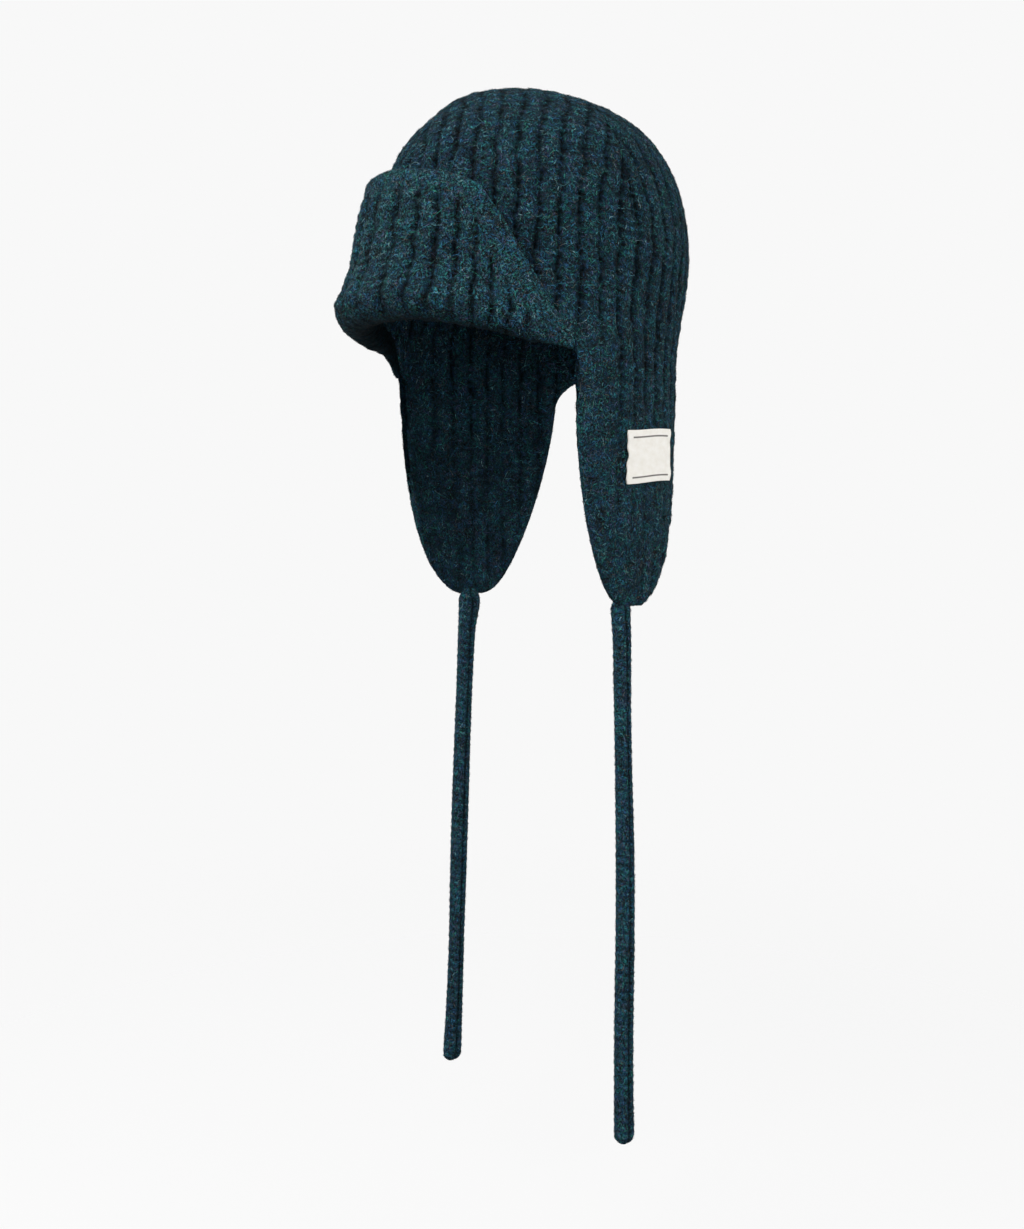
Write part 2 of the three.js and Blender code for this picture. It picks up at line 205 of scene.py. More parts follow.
def heather_group():
    """The wool's flecks and fine fibre relief from a point, with painted shade where it lies low on a
    rib.
    """
    tree = bpy.data.node_groups.new("heathered_wool", "ShaderNodeTree")
    for name, kind in (("Vector", "Vector"), ("Crest", "Float"), ("Shade", "Float")):
        tree.interface.new_socket(name, in_out="INPUT", socket_type=f"NodeSocket{kind}")
    for name, kind in (("Color", "Color"), ("Height", "Float")):
        tree.interface.new_socket(name, in_out="OUTPUT", socket_type=f"NodeSocket{kind}")
    link = tree.links.new
    given = add_node(tree, "NodeGroupInput", (-1400, 0))
    result = add_node(tree, "NodeGroupOutput", (900, 0))

    swirl = add_node(tree, "ShaderNodeTexNoise", (-1200, 300), Scale=240, Detail=2)
    middle = add_node(tree, "ShaderNodeVectorMath", (-1000, 300), operation="SUBTRACT")
    middle.inputs[1].default_value = (0.5, 0.5, 0.5)
    swirl_size = add_node(tree, "ShaderNodeVectorMath", (-820, 300), operation="SCALE", Scale=0.010)
    moved = add_node(tree, "ShaderNodeVectorMath", (-640, 200), operation="ADD")
    link(given.outputs["Vector"], swirl.inputs["Vector"])
    link(swirl.outputs["Color"], middle.inputs[0])
    link(middle.outputs[0], swirl_size.inputs[0])
    link(swirl_size.outputs[0], moved.inputs[0])
    link(given.outputs["Vector"], moved.inputs[1])

    fleck = add_node(tree, "ShaderNodeTexVoronoi", (-440, 320), Scale=760)
    fleck_value = add_node(tree, "ShaderNodeSeparateColor", (-240, 320))
    cloud = add_node(tree, "ShaderNodeTexNoise", (-440, 60), Scale=55, Detail=3)
    blend = add_node(tree, "ShaderNodeMath", (-60, 260), operation="MULTIPLY_ADD")
    blend.inputs[1].default_value = FLECK_SHARE
    cloud_share = add_node(tree, "ShaderNodeMapRange", (-240, 60), From_Min=0.3, From_Max=0.7)
    cloud_share.inputs["To Max"].default_value = 1 - FLECK_SHARE
    heather = add_node(tree, "ShaderNodeValToRGB", (120, 260))
    set_ramp(heather, HEATHER)
    link(moved.outputs[0], fleck.inputs["Vector"])
    link(fleck.outputs["Color"], fleck_value.inputs[0])
    link(given.outputs["Vector"], cloud.inputs["Vector"])
    link(cloud.outputs[0], cloud_share.inputs[0])
    link(fleck_value.outputs[0], blend.inputs[0])
    link(cloud_share.outputs[0], blend.inputs[2])
    link(blend.outputs[0], heather.inputs[0])

    fibre = add_node(tree, "ShaderNodeTexNoise", (-440, -200), Scale=1000, Detail=2, Distortion=0.6)
    fibre_light = add_node(tree, "ShaderNodeMapRange", (-240, -200), **FIBRE_SHADES)
    crest_light = add_node(tree, "ShaderNodeMapRange", (-240, -460), clamp=False, **CREST_PAINTED_SHADES)
    light = add_node(tree, "ShaderNodeMath", (0, -260), operation="MULTIPLY")
    shaded = add_node(tree, "ShaderNodeMath", (180, -260), operation="MULTIPLY")
    toned = add_node(
        tree, "ShaderNodeMix", (480, 160), data_type="RGBA", blend_type="MULTIPLY", Factor=1
    )
    link(moved.outputs[0], fibre.inputs["Vector"])
    link(fibre.outputs[0], fibre_light.inputs[0])
    # Painted shade: the crest darkens the colour where the knit lies low.
    link(given.outputs["Crest"], crest_light.inputs[0])
    link(fibre_light.outputs[0], light.inputs[0])
    link(crest_light.outputs[0], light.inputs[1])
    link(light.outputs[0], shaded.inputs[0])
    link(given.outputs["Shade"], shaded.inputs[1])
    link(heather.outputs[0], toned.inputs["A"])
    link(shaded.outputs[0], toned.inputs["B"])
    link(toned.outputs["Result"], result.inputs["Color"])

    relief = add_node(tree, "ShaderNodeMath", (480, -200), operation="MULTIPLY_ADD")
    relief.inputs[1].default_value = FLECK_RELIEF
    link(fleck.outputs["Distance"], relief.inputs[0])
    link(fibre.outputs[0], relief.inputs[2])
    link(relief.outputs[0], result.inputs["Height"])
    return tree


heathered_wool = heather_group()


SHEEN_TINT = (0.30, 0.62, 0.75, 1)


def knit_material(name, shade, sheen):
    """Brushed wool. The knit's own crest attribute paints shade into its valleys and between its
    stitches.
    """
    material = bpy.data.materials.new(name)
    material.use_nodes = True
    tree = material.node_tree
    tree.nodes.clear()
    place = add_node(tree, "ShaderNodeTexCoord", (-800, 0))
    crest = add_node(tree, "ShaderNodeAttribute", (-800, -200), attribute_name="crest")
    wool = add_node(tree, "ShaderNodeGroup", (-500, 0), node_tree=heathered_wool, Shade=shade)
    bump = add_node(tree, "ShaderNodeBump", (-250, -200), Strength=0.85, Distance=0.0006)
    surface = add_node(
        tree,
        "ShaderNodeBsdfPrincipled",
        (0, 0),
        Roughness=0.95,
        Specular_IOR_Level=0.03,
        Sheen_Weight=sheen,
        Sheen_Roughness=0.6,
        Sheen_Tint=SHEEN_TINT,
    )
    output = add_node(tree, "ShaderNodeOutputMaterial", (300, 0))
    tree.links.new(place.outputs["Object"], wool.inputs["Vector"])
    tree.links.new(crest.outputs["Fac"], wool.inputs["Crest"])
    tree.links.new(wool.outputs["Color"], surface.inputs["Base Color"])
    tree.links.new(wool.outputs["Height"], bump.inputs["Height"])
    tree.links.new(bump.outputs["Normal"], surface.inputs["Normal"])
    tree.links.new(surface.outputs[0], output.inputs[0])
    return material


# Painted light: the ties' wool is made brighter (shade 1.9) than the crown's (1.3), though it is the same
# yarn.
tie_wool = knit_material("tie_wool", shade=1.9, sheen=0.02)


def route_points(route, step):
    """The route as a smooth curve through its points, cut into even steps, and its length."""
    knots = np.array([route[0], *route, route[-1]])
    knots[0] = 2 * knots[1] - knots[2]
    knots[-1] = 2 * knots[-2] - knots[-3]
    dense = []
    for before, start, end, after in zip(knots, knots[1:], knots[2:], knots[3:]):
        for share in np.linspace(0, 1, 24, endpoint=False):
            dense.append(0.5 * (
                2 * start
                + (end - before) * share
                + (2 * before - 5 * start + 4 * end - after) * share ** 2
                + (3 * start - before - 3 * end + after) * share ** 3
            ))
    dense.append(knots[-2])
    dense = np.array(dense)
    run = np.concatenate([[0], np.cumsum(np.linalg.norm(np.diff(dense, axis=0), axis=1))])
    even = np.linspace(0, run[-1], int(run[-1] / step) + 1)
    return np.stack([np.interp(even, run, dense[:, axis]) for axis in range(3)], axis=1), run[-1]


def lay_grid(name, columns, rows, points):
    """A flat grid whose points are moved to points[row, column]. Rows run down, columns along."""
    bpy.ops.object.select_all(action="DESELECT")
    bpy.ops.mesh.primitive_grid_add(x_subdivisions=columns, y_subdivisions=rows, size=1)
    piece = bpy.context.object
    piece.name = piece.data.name = name
    flat = np.empty(len(piece.data.vertices) * 3)
    piece.data.vertices.foreach_get("co", flat)
    flat = flat.reshape(-1, 3)
    column = np.rint((flat[:, 0] + 0.5) * columns).astype(int)
    row = np.rint((0.5 - flat[:, 1]) * rows).astype(int)
    piece.data.vertices.foreach_set("co", points[row, column].ravel())
    return piece, row, column


def set_attribute(piece, name, values):
    """A number for each point of the piece's mesh, which its material reads."""
    attribute = piece.data.attributes.new(name, "FLOAT", "POINT")
    attribute.data.foreach_set("value", np.ascontiguousarray(values, dtype=np.float32))


def weld(piece):
    """Merge the points that lie on each other, and shade the piece smooth."""
    bpy.ops.object.select_all(action="DESELECT")
    piece.select_set(True)
    bpy.context.view_layer.objects.active = piece
    bpy.ops.object.mode_set(mode="EDIT")
    bpy.ops.mesh.select_all(action="SELECT")
    bpy.ops.mesh.remove_doubles(threshold=2e-6)
    bpy.ops.object.mode_set(mode="OBJECT")
    bpy.ops.object.shade_smooth()


def knit_tie(name, route):
    """A tie: rings of stitches along its route, thin inside the earflap and rounded at the end."""
    centres, length = route_points(route, TIE_STEP)
    above = np.arange(TIE_ROOT_ABOVE, 0, -TIE_STEP)[:, None] * np.array([0, 0, 1.0])
    rings = np.concatenate([centres[0] + above, centres])
    run = np.concatenate([-above[:, 2], np.linspace(0, length, len(centres))])
    turn = np.linspace(0, 2 * np.pi, TIE_SIDES + 1)
    turn[-1] = 0
    at_root = 1 - smooth(run / TIE_ROOT_LENGTH)
    flare = 1 + TIE_ROOT_FLARE[name] * at_root
    left = np.clip((length - run) / TIE_END_ROUND, 0, 1)
    end = np.sqrt(1 - (1 - left) ** TIE_END_POWER)
    across = np.cos(turn)[None, :]
    depth = np.sin(turn)[None, :]
    boxy = (np.abs(across) ** TIE_BOX_POWER + np.abs(depth) ** TIE_BOX_POWER) ** (-1 / TIE_BOX_POWER)
    face = np.abs(across * boxy)
    groove = TIE_GROOVE * np.exp(-((across * boxy / TIE_GROOVE_WIDTH) ** 2)) * np.abs(depth)
    stitch = run[:, None] / TIE_STITCH + TIE_STITCH_SLANT * face + TIE_SIDES_APART * np.sign(depth)
    bump = TIE_STITCH_RISE * (0.5 + 0.5 * np.cos(2 * np.pi * stitch))
    bump = bump * (1 - np.exp(-((across / TIE_SEAM_WIDTH) ** 2)))
    width = np.interp(run / length, TIE_WIDTH_PLACES, TIE_WIDTHS[name])
    half_width = width[:, None] / 2 * (end * flare)[:, None] - TIE_KNIT_ROOM
    rounded = np.sqrt(1 - (np.minimum(run, 0) / TIE_ROOT_ROUND) ** 2)
    half_width = half_width * rounded[:, None]
    in_flap = smooth((run + TIE_ROOT_ABOVE) / (TIE_ROOT_ABOVE + TIE_ROOT_BELOW))
    in_flap = lerp(TIE_ROOT_THIN, 1, in_flap)
    half_depth = TIE_THICKNESS / 2 * (end * in_flap)[:, None] - TIE_KNIT_ROOM
    out_width = across * boxy * (half_width + bump * end[:, None])
    out_depth = depth * boxy * (half_depth + (bump - groove) * end[:, None])
    points = np.empty((len(rings), TIE_SIDES + 1, 3))
    points[..., 0] = rings[:, None, 0] + out_depth
    points[..., 1] = (rings[:, 1] + TIE_ROOT_SHIFT[name] * at_root)[:, None] + out_width
    points[..., 2] = rings[:, None, 2]
    points[0] = points[0].mean(axis=0)
    points[-1] = rings[-1]
    piece, row, column = lay_grid(name + "_knit", TIE_SIDES, len(rings) - 1, points)
    # Painted shade: the tie's colour darkens between its stitches and down the groove on each face.
    crest = TIE_PAINTED_SHADE["ground"] + TIE_PAINTED_SHADE["stitch"] * bump / TIE_STITCH_RISE
    crest = crest - TIE_PAINTED_SHADE["groove"] * groove / TIE_GROOVE
    set_attribute(piece, "crest", crest[row, column])
    weld(piece)
    bpy.ops.object.mode_set(mode="EDIT")
    bpy.ops.mesh.normals_make_consistent(inside=False)
    bpy.ops.object.mode_set(mode="OBJECT")
    piece.data.materials.append(tie_wool)
    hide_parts(name)
    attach(piece, "root")
    return piece


ties = {name: knit_tie(name, route) for name, route in TIE_ROUTES.items()}

# The studio is a plain pale floor some way under the ties, in a pale room of the same shade, with
# one broad soft light from the upper left of the view and a weak one from the right. The camera
# sees the room and the floor in one even shade, whatever light they shed on the hat.
ROOM_SHADE = 0.939
FLOOR_HEIGHT = -0.70
FLOOR_RADIUS = 1.6
FLOOR_FADE = (0.30, 1.0)
FLOOR_SHADE = 0.16
FLOOR_GLOW = 0.738
ROOM_LIGHT = 1.12
ROOM_LIGHT_BELOW = 0.90
ROOM_LIGHT_HEIGHTS = (-0.5, 0.4)
SOFT_LIGHTS = [
    {"name": "key_light", "turn": 5, "rise": 42, "distance": 1.6, "size": 1.1, "power": 20},
    {"name": "fill_light", "turn": 110, "rise": 15, "distance": 1.8, "size": 1.4, "power": 11},
]

bpy.context.scene.view_settings.view_transform = "Standard"
room = bpy.data.worlds.new("pale_room")
bpy.context.scene.world = room
room.use_nodes = True
tree = room.node_tree
room_seen = tree.nodes["Background"]
room_seen.inputs["Color"].default_value = (ROOM_SHADE,) * 3 + (1,)
room_shed = add_node(tree, "ShaderNodeBackground", (0, -300))
room_way = add_node(tree, "ShaderNodeTexCoord", (-700, -300))
room_height = add_node(tree, "ShaderNodeSeparateXYZ", (-500, -300))
room_fall = add_node(
    tree,
    "ShaderNodeMapRange",
    (-300, -300),
    From_Min=ROOM_LIGHT_HEIGHTS[0],
    From_Max=ROOM_LIGHT_HEIGHTS[1],
    To_Min=ROOM_LIGHT_BELOW,
    To_Max=ROOM_LIGHT,
)
room_view = add_node(tree, "ShaderNodeLightPath", (0, 300))
room_mix = add_node(tree, "ShaderNodeMixShader", (250, 0))
tree.links.new(room_way.outputs["Generated"], room_height.inputs[0])
tree.links.new(room_height.outputs["Z"], room_fall.inputs[0])
tree.links.new(room_fall.outputs[0], room_shed.inputs["Strength"])
tree.links.new(room_view.outputs["Is Camera Ray"], room_mix.inputs[0])
tree.links.new(room_shed.outputs[0], room_mix.inputs[1])
tree.links.new(room_seen.outputs[0], room_mix.inputs[2])
tree.links.new(room_mix.outputs[0], tree.nodes["World Output"].inputs["Surface"])

for lamp in SOFT_LIGHTS:
    turn = math.radians(lamp["turn"])
    rise = math.radians(lamp["rise"])
    away = Vector((math.sin(turn) * math.cos(rise), -math.cos(turn) * math.cos(rise), math.sin(rise)))
    middle = (cad_low + cad_high) / 2
    bpy.ops.object.light_add(
        type="AREA",
        location=middle + away * lamp["distance"],
        rotation=away.to_track_quat("Z", "Y").to_euler(),
    )
    light = bpy.context.object
    light.name = lamp["name"]
    light.data.size = lamp["size"]
    light.data.energy = lamp["power"]

bpy.ops.mesh.primitive_circle_add(
    vertices=96,
    radius=FLOOR_RADIUS,
    fill_type="NGON",
    location=(0, 0, FLOOR_HEIGHT),
)
floor = bpy.context.object
floor.name = "floor"
floor_paint = bpy.data.materials.new("pale_floor")
floor_paint.use_nodes = True
tree = floor_paint.node_tree
tree.nodes.clear()
floor_place = add_node(tree, "ShaderNodeTexCoord", (-800, 0))
floor_reach = add_node(tree, "ShaderNodeVectorMath", (-600, 0), operation="LENGTH")
floor_fade = add_node(tree, "ShaderNodeMapRange", (-400, 0), interpolation_type="SMOOTHSTEP")
floor_fade.inputs["From Min"].default_value = FLOOR_FADE[0]
floor_fade.inputs["From Max"].default_value = FLOOR_FADE[1]
floor_matt = add_node(tree, "ShaderNodeBsdfDiffuse", (-400, -200))
floor_matt.inputs["Color"].default_value = (FLOOR_SHADE,) * 3 + (1,)
floor_glow = add_node(tree, "ShaderNodeEmission", (-400, -500))
floor_view = add_node(tree, "ShaderNodeLightPath", (-800, -500))
floor_lit = add_node(tree, "ShaderNodeMath", (-600, -500), operation="MULTIPLY")
floor_lit.inputs[1].default_value = FLOOR_GLOW
tree.links.new(floor_view.outputs["Is Camera Ray"], floor_lit.inputs[0])
tree.links.new(floor_lit.outputs[0], floor_glow.inputs["Strength"])
floor_sum = add_node(tree, "ShaderNodeAddShader", (-250, -300))
floor_clear = add_node(tree, "ShaderNodeBsdfTransparent", (-400, -350))
floor_mix = add_node(tree, "ShaderNodeMixShader", (-150, 0))
floor_out = add_node(tree, "ShaderNodeOutputMaterial", (50, 0))
tree.links.new(floor_place.outputs["Object"], floor_reach.inputs[0])
tree.links.new(floor_reach.outputs["Value"], floor_fade.inputs[0])
tree.links.new(floor_fade.outputs[0], floor_mix.inputs[0])
tree.links.new(floor_matt.outputs[0], floor_sum.inputs[0])
tree.links.new(floor_glow.outputs[0], floor_sum.inputs[1])
tree.links.new(floor_sum.outputs[0], floor_mix.inputs[1])
tree.links.new(floor_clear.outputs[0], floor_mix.inputs[2])
tree.links.new(floor_mix.outputs[0], floor_out.inputs[0])
floor.data.materials.append(floor_paint)

# The crown and both earflaps are knitted in one: a tube of 48 chunky ribs that four darts draw
# together at the top, and that runs on down over the ears. It is one corrugated wall of wool,
# 5 mm thick. Angles are degrees from the front, and drops are measured down from the wall's top.
HALF_WALL = 0.0025
HALF_WIDTH = 0.0823
HALF_DEPTH = 0.0998
DOME_HEIGHT = 0.096
DOME_SIDE_POWER = 0.8
DOME_TOP_POWER = 0.865
TOP_FORWARD = 0.009
TOP_FORWARD_DROP = 0.020
HEM_DROP = 0.167
HEM_REACH = {"front": 1, "nape": 0.885, "front_angle": 60, "nape_angle": 172}
NAPE_RISE = {"up": 0.004, "none_angle": 132, "full_angle": 150, "start_drop": 0.10}
FRONT_LEAN = {"out": 0.011, "full_angle": 68, "none_angle": 104, "start_drop": 0.105}
FLAP_LENGTH = 0.144
FLAP_REAR_NECK = 0.052
FLAP_SHAPES = {
    "left": {"length": 0.140, "front_neck": 0.0500, "front_power": 1.9, "rear_power": 1.8},
    "right": {"length": 0.141, "front_neck": 0.0513, "front_power": 2.3, "rear_power": 1.6},
}
FLAP_TIP_REACH = 0.93
FLAP_TUCK_POWER = 8
FLAP_TIP_HALF = 0.006
FLAP_ROUND = 0.130
FLAP_NECK_Y = 0.0115
FLAP_TIP_Y = 0.008
FLAP_FILLET = 0.016
FLAP_FRONT_FILLET = {"out": 0.004, "height": 0.026}
FLAP_BORDER = {"plain": 0.010, "fade": 0.014, "from_drop": 0.135, "over_drop": 0.03}
FLAP_FADE = {"to": 0.4, "by_share": 0.35}
DART_ANGLE = 90
RIB_COUNT = 48
RIB_PHASE = 0.4
RIB_CELLS = 8
RIB_RISE = 0.0009
RIB_VALLEY = 2.9
RIB_VALLEY_POWER = 4.2
VALLEY_DEPTHS = (0.62, 1.25)
RIB_WOBBLE = 0.045
RIB_WOBBLE_LENGTHS = (0.0031, 0.0047)
RIB_LEAN = {"by": 3.2, "from_angle": 38, "full_angle": 64, "back_angle": 165, "back_fade": 45}
RIB_LEAN_DROPS = {"from": 0.085, "over": 0.075}
RIB_SWAY = [
    {"by": 0.5, "waves": 5, "drop": 0.011, "start": 0},
    {"by": 0.4, "waves": 9, "drop": -0.017, "start": 1},
]
RIB_SWAY_DROPS = {"from": 0.015, "over": 0.03}
TOP_FLAT_DROP = 0.045
TOP_RELIEF = 0.15
STITCH = 0.0052
STITCH_LENGTHS = (0.86, 1.16)
STITCH_SIZES = (0.3, 1.3)
STITCH_RISE = 0.00042
STITCH_MIDDLE = 0.45
STITCH_SLANT = 0.6
STITCH_DRIFT = {"by": 0.2, "length": 0.019}
STITCH_CLEFT = {"by": 0.3, "half_width": 0.12}
STITCH_COUNT = 128
# Painted shade of the ribbed knit: how much darker its colour is made in the valleys and between
# stitches.
PAINTED_RIB_SHADE = {"plain": 0.84, "ground": 0.72, "rib": 0.28, "stitch": 0.46, "plain_stitch": 0.3, "power": 1.5}
LUMP_RISE = 0.0003
LUMP_SIZE = 0.009
INNER_STRENGTH = 0.75
INNER_STRENGTH_SHARE = 0.6
INNER_RELIEF = 0.8
INNER_PATCHES = {"ground": 0.85, "by": 0.2, "size": 0.016}
# Painted light: the crown's inner face is brightened by up to this factor above the hem, where little
# light reaches it, and fades back over this drop.
INNER_PAINTED_LIGHT = 1.9
INNER_PAINTED_LIGHT_FADE = 0.05
INNER_FACES_KEPT = 0.66
ROW_STEP = 0.0014
EDGE_STEP = 0.0008
EDGE_ROWS = 3
EDGE_REACH = 0.012
FAR_FROM_EDGE = 1.0
ANGLE_STEP = 0.05
DROP_STEP = 0.00005
BRIM_END_ANGLE = 66
BRIM_LEVEL_ANGLE = 12
BRIM_EDGE_ANGLES = [0, 24, 36, 44, 53, 60, 66]
BRIM_EDGE_LEFT = [0.057, 0.063, 0.071, 0.090, 0.119, 0.141, 0.154]
BRIM_EDGE_RIGHT = [0.057, 0.057, 0.059, 0.071, 0.106, 0.140, 0.166]
FOLD_DROP = {"front": 0.1305, "left_end": 0.161, "right_end": 0.146}
FOLD_LEFT_POWER = 1.4
FOLD_TAIL = {"drop": 0.021, "from_angle": 50, "power": 2.6}
FOLD_RADIUS = {"front": 0.0115, "end": 0.0037}
BRIM_HUG = {"front": 0.0115, "end": 0.0074}
BRIM_CURVE = 1.5
BRIM_LEG = 0.004
BRIM_LEAST_HEIGHT = 0.003


def signed(angle):
    """The angle from the front, from -180 on the right to 180 on the left."""
    return (angle + 540) % 360 - 180


def past(angle, none_angle, full_angle):
    """How far an angle on either side has come on its way between two angles."""
    return smooth((np.abs(signed(angle)) - none_angle) / (full_angle - none_angle))


def reach_at(angle, drop):
    """How far out the wall stands at a drop below the top, as a share of its widest size."""
    level = np.clip(1 - drop / DOME_HEIGHT, 0, 1) ** (1 / DOME_TOP_POWER)
    dome = np.sqrt(1 - level ** 2) ** DOME_SIDE_POWER
    turned = past(angle, HEM_REACH["front_angle"], HEM_REACH["nape_angle"])
    hem = lerp(HEM_REACH["front"], HEM_REACH["nape"], turned)
    below = np.clip((drop - HEM_DROP) / FLAP_LENGTH, 0, 1)
    tuck = lerp(1, FLAP_TIP_REACH, below ** FLAP_TUCK_POWER)
    body = tuck * lerp(1, hem, smooth((drop - DOME_HEIGHT) / (HEM_DROP - DOME_HEIGHT)))
    return np.where(drop < DOME_HEIGHT, dome, body)


def wall_points(angle, drop, out=0.0):
    """Points of the wall's middle surface at angles from the front and drops below the top."""
    turn = np.radians(angle)
    reach = reach_at(angle, drop)
    lean = past(angle, FRONT_LEAN["none_angle"], FRONT_LEAN["full_angle"])
    start = FRONT_LEAN["start_drop"]
    below = np.clip((drop - HEM_DROP) / FLAP_LENGTH, 0, 1)
    lean = FRONT_LEAN["out"] * lean * smooth((drop - start) / (HEM_DROP - start)) * (1 - below)
    rise = past(angle, NAPE_RISE["none_angle"], NAPE_RISE["full_angle"])
    start = NAPE_RISE["start_drop"]
    rise = NAPE_RISE["up"] * rise * smooth((drop - start) / (HEM_DROP - start))
    forward = TOP_FORWARD * (1 - smooth(drop / TOP_FORWARD_DROP))
    across = np.stack([np.sin(turn) * HALF_DEPTH, -np.cos(turn) * HALF_WIDTH], axis=-1)
    across = across / np.linalg.norm(across, axis=-1, keepdims=True)
    x = HALF_WIDTH * reach * np.sin(turn) + across[..., 0] * (out + lean)
    y = -HALF_DEPTH * reach * np.cos(turn) - forward + across[..., 1] * (out + lean)
    return np.stack([x, y, HALF_WALL - drop + rise + 0 * x], axis=-1)


def fabric_normals(place, along, down, along_step, down_step):
    """The way a fabric's face looks, from how its surface runs on both ways."""
    run = place(along + along_step, down) - place(along - along_step, down)
    fall = place(along, down + down_step) - place(along, np.maximum(down - down_step, 0))
    normal = np.cross(fall, run)
    size = np.linalg.norm(normal, axis=-1, keepdims=True)
    return np.where(size > 1e-14, normal / np.maximum(size, 1e-14), (0, 0, 1))


def brim_sizes(angle):
    """Where the brim's free edge and fold lie at an angle, and how far it stands off the crown."""
    side = np.abs(signed(angle))
    turned = np.clip((side - BRIM_LEVEL_ANGLE) / (BRIM_END_ANGLE - BRIM_LEVEL_ANGLE), 0, 1)
    share = smooth(turned)
    on_left = signed(angle) > 0
    fold_left = lerp(FOLD_DROP["front"], FOLD_DROP["left_end"], turned ** FOLD_LEFT_POWER)
    tail = (side - FOLD_TAIL["from_angle"]) / (BRIM_END_ANGLE - FOLD_TAIL["from_angle"])
    tail = FOLD_TAIL["drop"] * np.clip(tail, 0, 1) ** FOLD_TAIL["power"]
    fold = lerp(FOLD_DROP["front"], FOLD_DROP["right_end"], share) + tail
    fold = np.where(on_left, fold_left, fold)
    edge_left = np.interp(side, BRIM_EDGE_ANGLES, BRIM_EDGE_LEFT)
    edge_right = np.interp(side, BRIM_EDGE_ANGLES, BRIM_EDGE_RIGHT)
    edge = np.minimum(np.where(on_left, edge_left, edge_right), fold - BRIM_LEAST_HEIGHT)
    radius = lerp(FOLD_RADIUS["front"], FOLD_RADIUS["end"], share)
    hug = lerp(BRIM_HUG["front"], BRIM_HUG["end"], share)
    return edge, fold, radius, hug


def hem_drop(angle):
    """Where the crown's wall ends: at the nape's hem, or higher where the brim's fold takes over."""
    fold = brim_sizes(angle)[1]
    return np.where(np.abs(signed(angle)) < BRIM_END_ANGLE, fold - BRIM_LEG, HEM_DROP)


def flap_edges(share, hand):
    """The angles of an earflap's front and rear edges at a share of its length."""
    shape = FLAP_SHAPES[hand]
    length = shape["length"]
    drop = HEM_DROP + share * length
    rounding = np.clip((share * length - (length - FLAP_ROUND)) / FLAP_ROUND, 0, 1)
    ahead = np.sqrt(1 - rounding ** shape["front_power"])
    behind = np.sqrt(1 - rounding ** shape["rear_power"])
    in_fillet = np.clip(1 - share * length / FLAP_FILLET, 0, 1)
    fillet = FLAP_FILLET * (1 - np.sqrt(1 - in_fillet ** 2))
    middle = lerp(FLAP_NECK_Y, FLAP_TIP_Y, share)
    flared = np.clip(1 - share * length / FLAP_FRONT_FILLET["height"], 0, 1)
    front = middle - lerp(FLAP_TIP_HALF, shape["front_neck"], ahead)
    front = front - FLAP_FRONT_FILLET["out"] * flared ** 2
    rear = middle + lerp(FLAP_TIP_HALF, FLAP_REAR_NECK, behind) + fillet
    angles = []
    for depth in (front, rear):
        angle = np.full_like(share, 90.0)
        for _ in range(8):
            reach = HALF_DEPTH * reach_at(angle, drop)
            angle = np.degrees(np.arccos(np.clip(-depth / reach, -1, 1)))
        angles.append(angle)
    return np.maximum(angles[0], BRIM_END_ANGLE), angles[1]


def crown_phase(column):
    """Which rib of the crown an angle lies on. Whole numbers are the valleys between ribs."""
    return column * RIB_COUNT / 360 - RIB_PHASE


def rib_lift(phase, run, strength, relief, seed):
    """How far the knit rises at a place across and along its ribs, and the painted shade of its hollows.
    """
    chance = np.random.default_rng(seed)
    rib = np.floor(phase + 1e-6).astype(int) % RIB_COUNT
    length = STITCH * lerp(*STITCH_LENGTHS, chance.random(RIB_COUNT))[rib]
    start = chance.random(RIB_COUNT)[rib]
    start = start + STITCH_DRIFT["by"] * np.sin(run / STITCH_DRIFT["length"] + rib)
    valley = np.rint(phase).astype(int) % RIB_COUNT
    knot = np.rint(run / STITCH).astype(int) % STITCH_COUNT
    depth = lerp(*VALLEY_DEPTHS, chance.random((RIB_COUNT, STITCH_COUNT))[valley, knot])
    shift = chance.random(RIB_COUNT)[valley] * 7
    fast, slow = RIB_WOBBLE_LENGTHS
    wobble = RIB_WOBBLE * (np.sin(run / fast + shift) + np.sin(run / slow - 2 * shift))
    off = np.abs(2 * ((phase + wobble) % 1) - 1)
    wave = 1 - RIB_VALLEY * off ** RIB_VALLEY_POWER * depth
    stitch = run / length + STITCH_SLANT * off + start
    knot = np.rint(stitch).astype(int) % STITCH_COUNT
    size = lerp(*STITCH_SIZES, chance.random((RIB_COUNT, STITCH_COUNT))[rib, knot])
    cleft = 1 - STITCH_CLEFT["by"] * (off < STITCH_CLEFT["half_width"])
    bump = size * (0.5 + 0.5 * np.cos(2 * np.pi * stitch)) * cleft
    lift = strength * relief * (RIB_RISE * wave + STITCH_RISE * (bump - STITCH_MIDDLE))
    # Painted shade: crest darkens the colour in the valleys between the ribs and between the stitches.
    valley_shade = 1 - np.clip(PAINTED_RIB_SHADE["ground"] + PAINTED_RIB_SHADE["rib"] * wave, 0, 1)
    crest = lerp(PAINTED_RIB_SHADE["plain"], 1, strength) - strength * valley_shade
    stitch_shade = (1 - np.minimum(bump, 1)) ** PAINTED_RIB_SHADE["power"]
    crest = crest - PAINTED_RIB_SHADE["stitch"] * lerp(PAINTED_RIB_SHADE["plain_stitch"], 1, strength) * stitch_shade
    return lift, crest


def lumps(points, size, seed):
    """Soft uneven swelling of the wool, as a few crossing waves."""
    chance = np.random.default_rng(seed)
    total = np.zeros(points.shape[:-1])
    for _ in range(9):
        way = chance.normal(size=3)
        way = way / np.linalg.norm(way) / size * chance.uniform(0.7, 2.2)
        total += np.sin(2 * np.pi * (points @ way + chance.random()))
    return total / 3


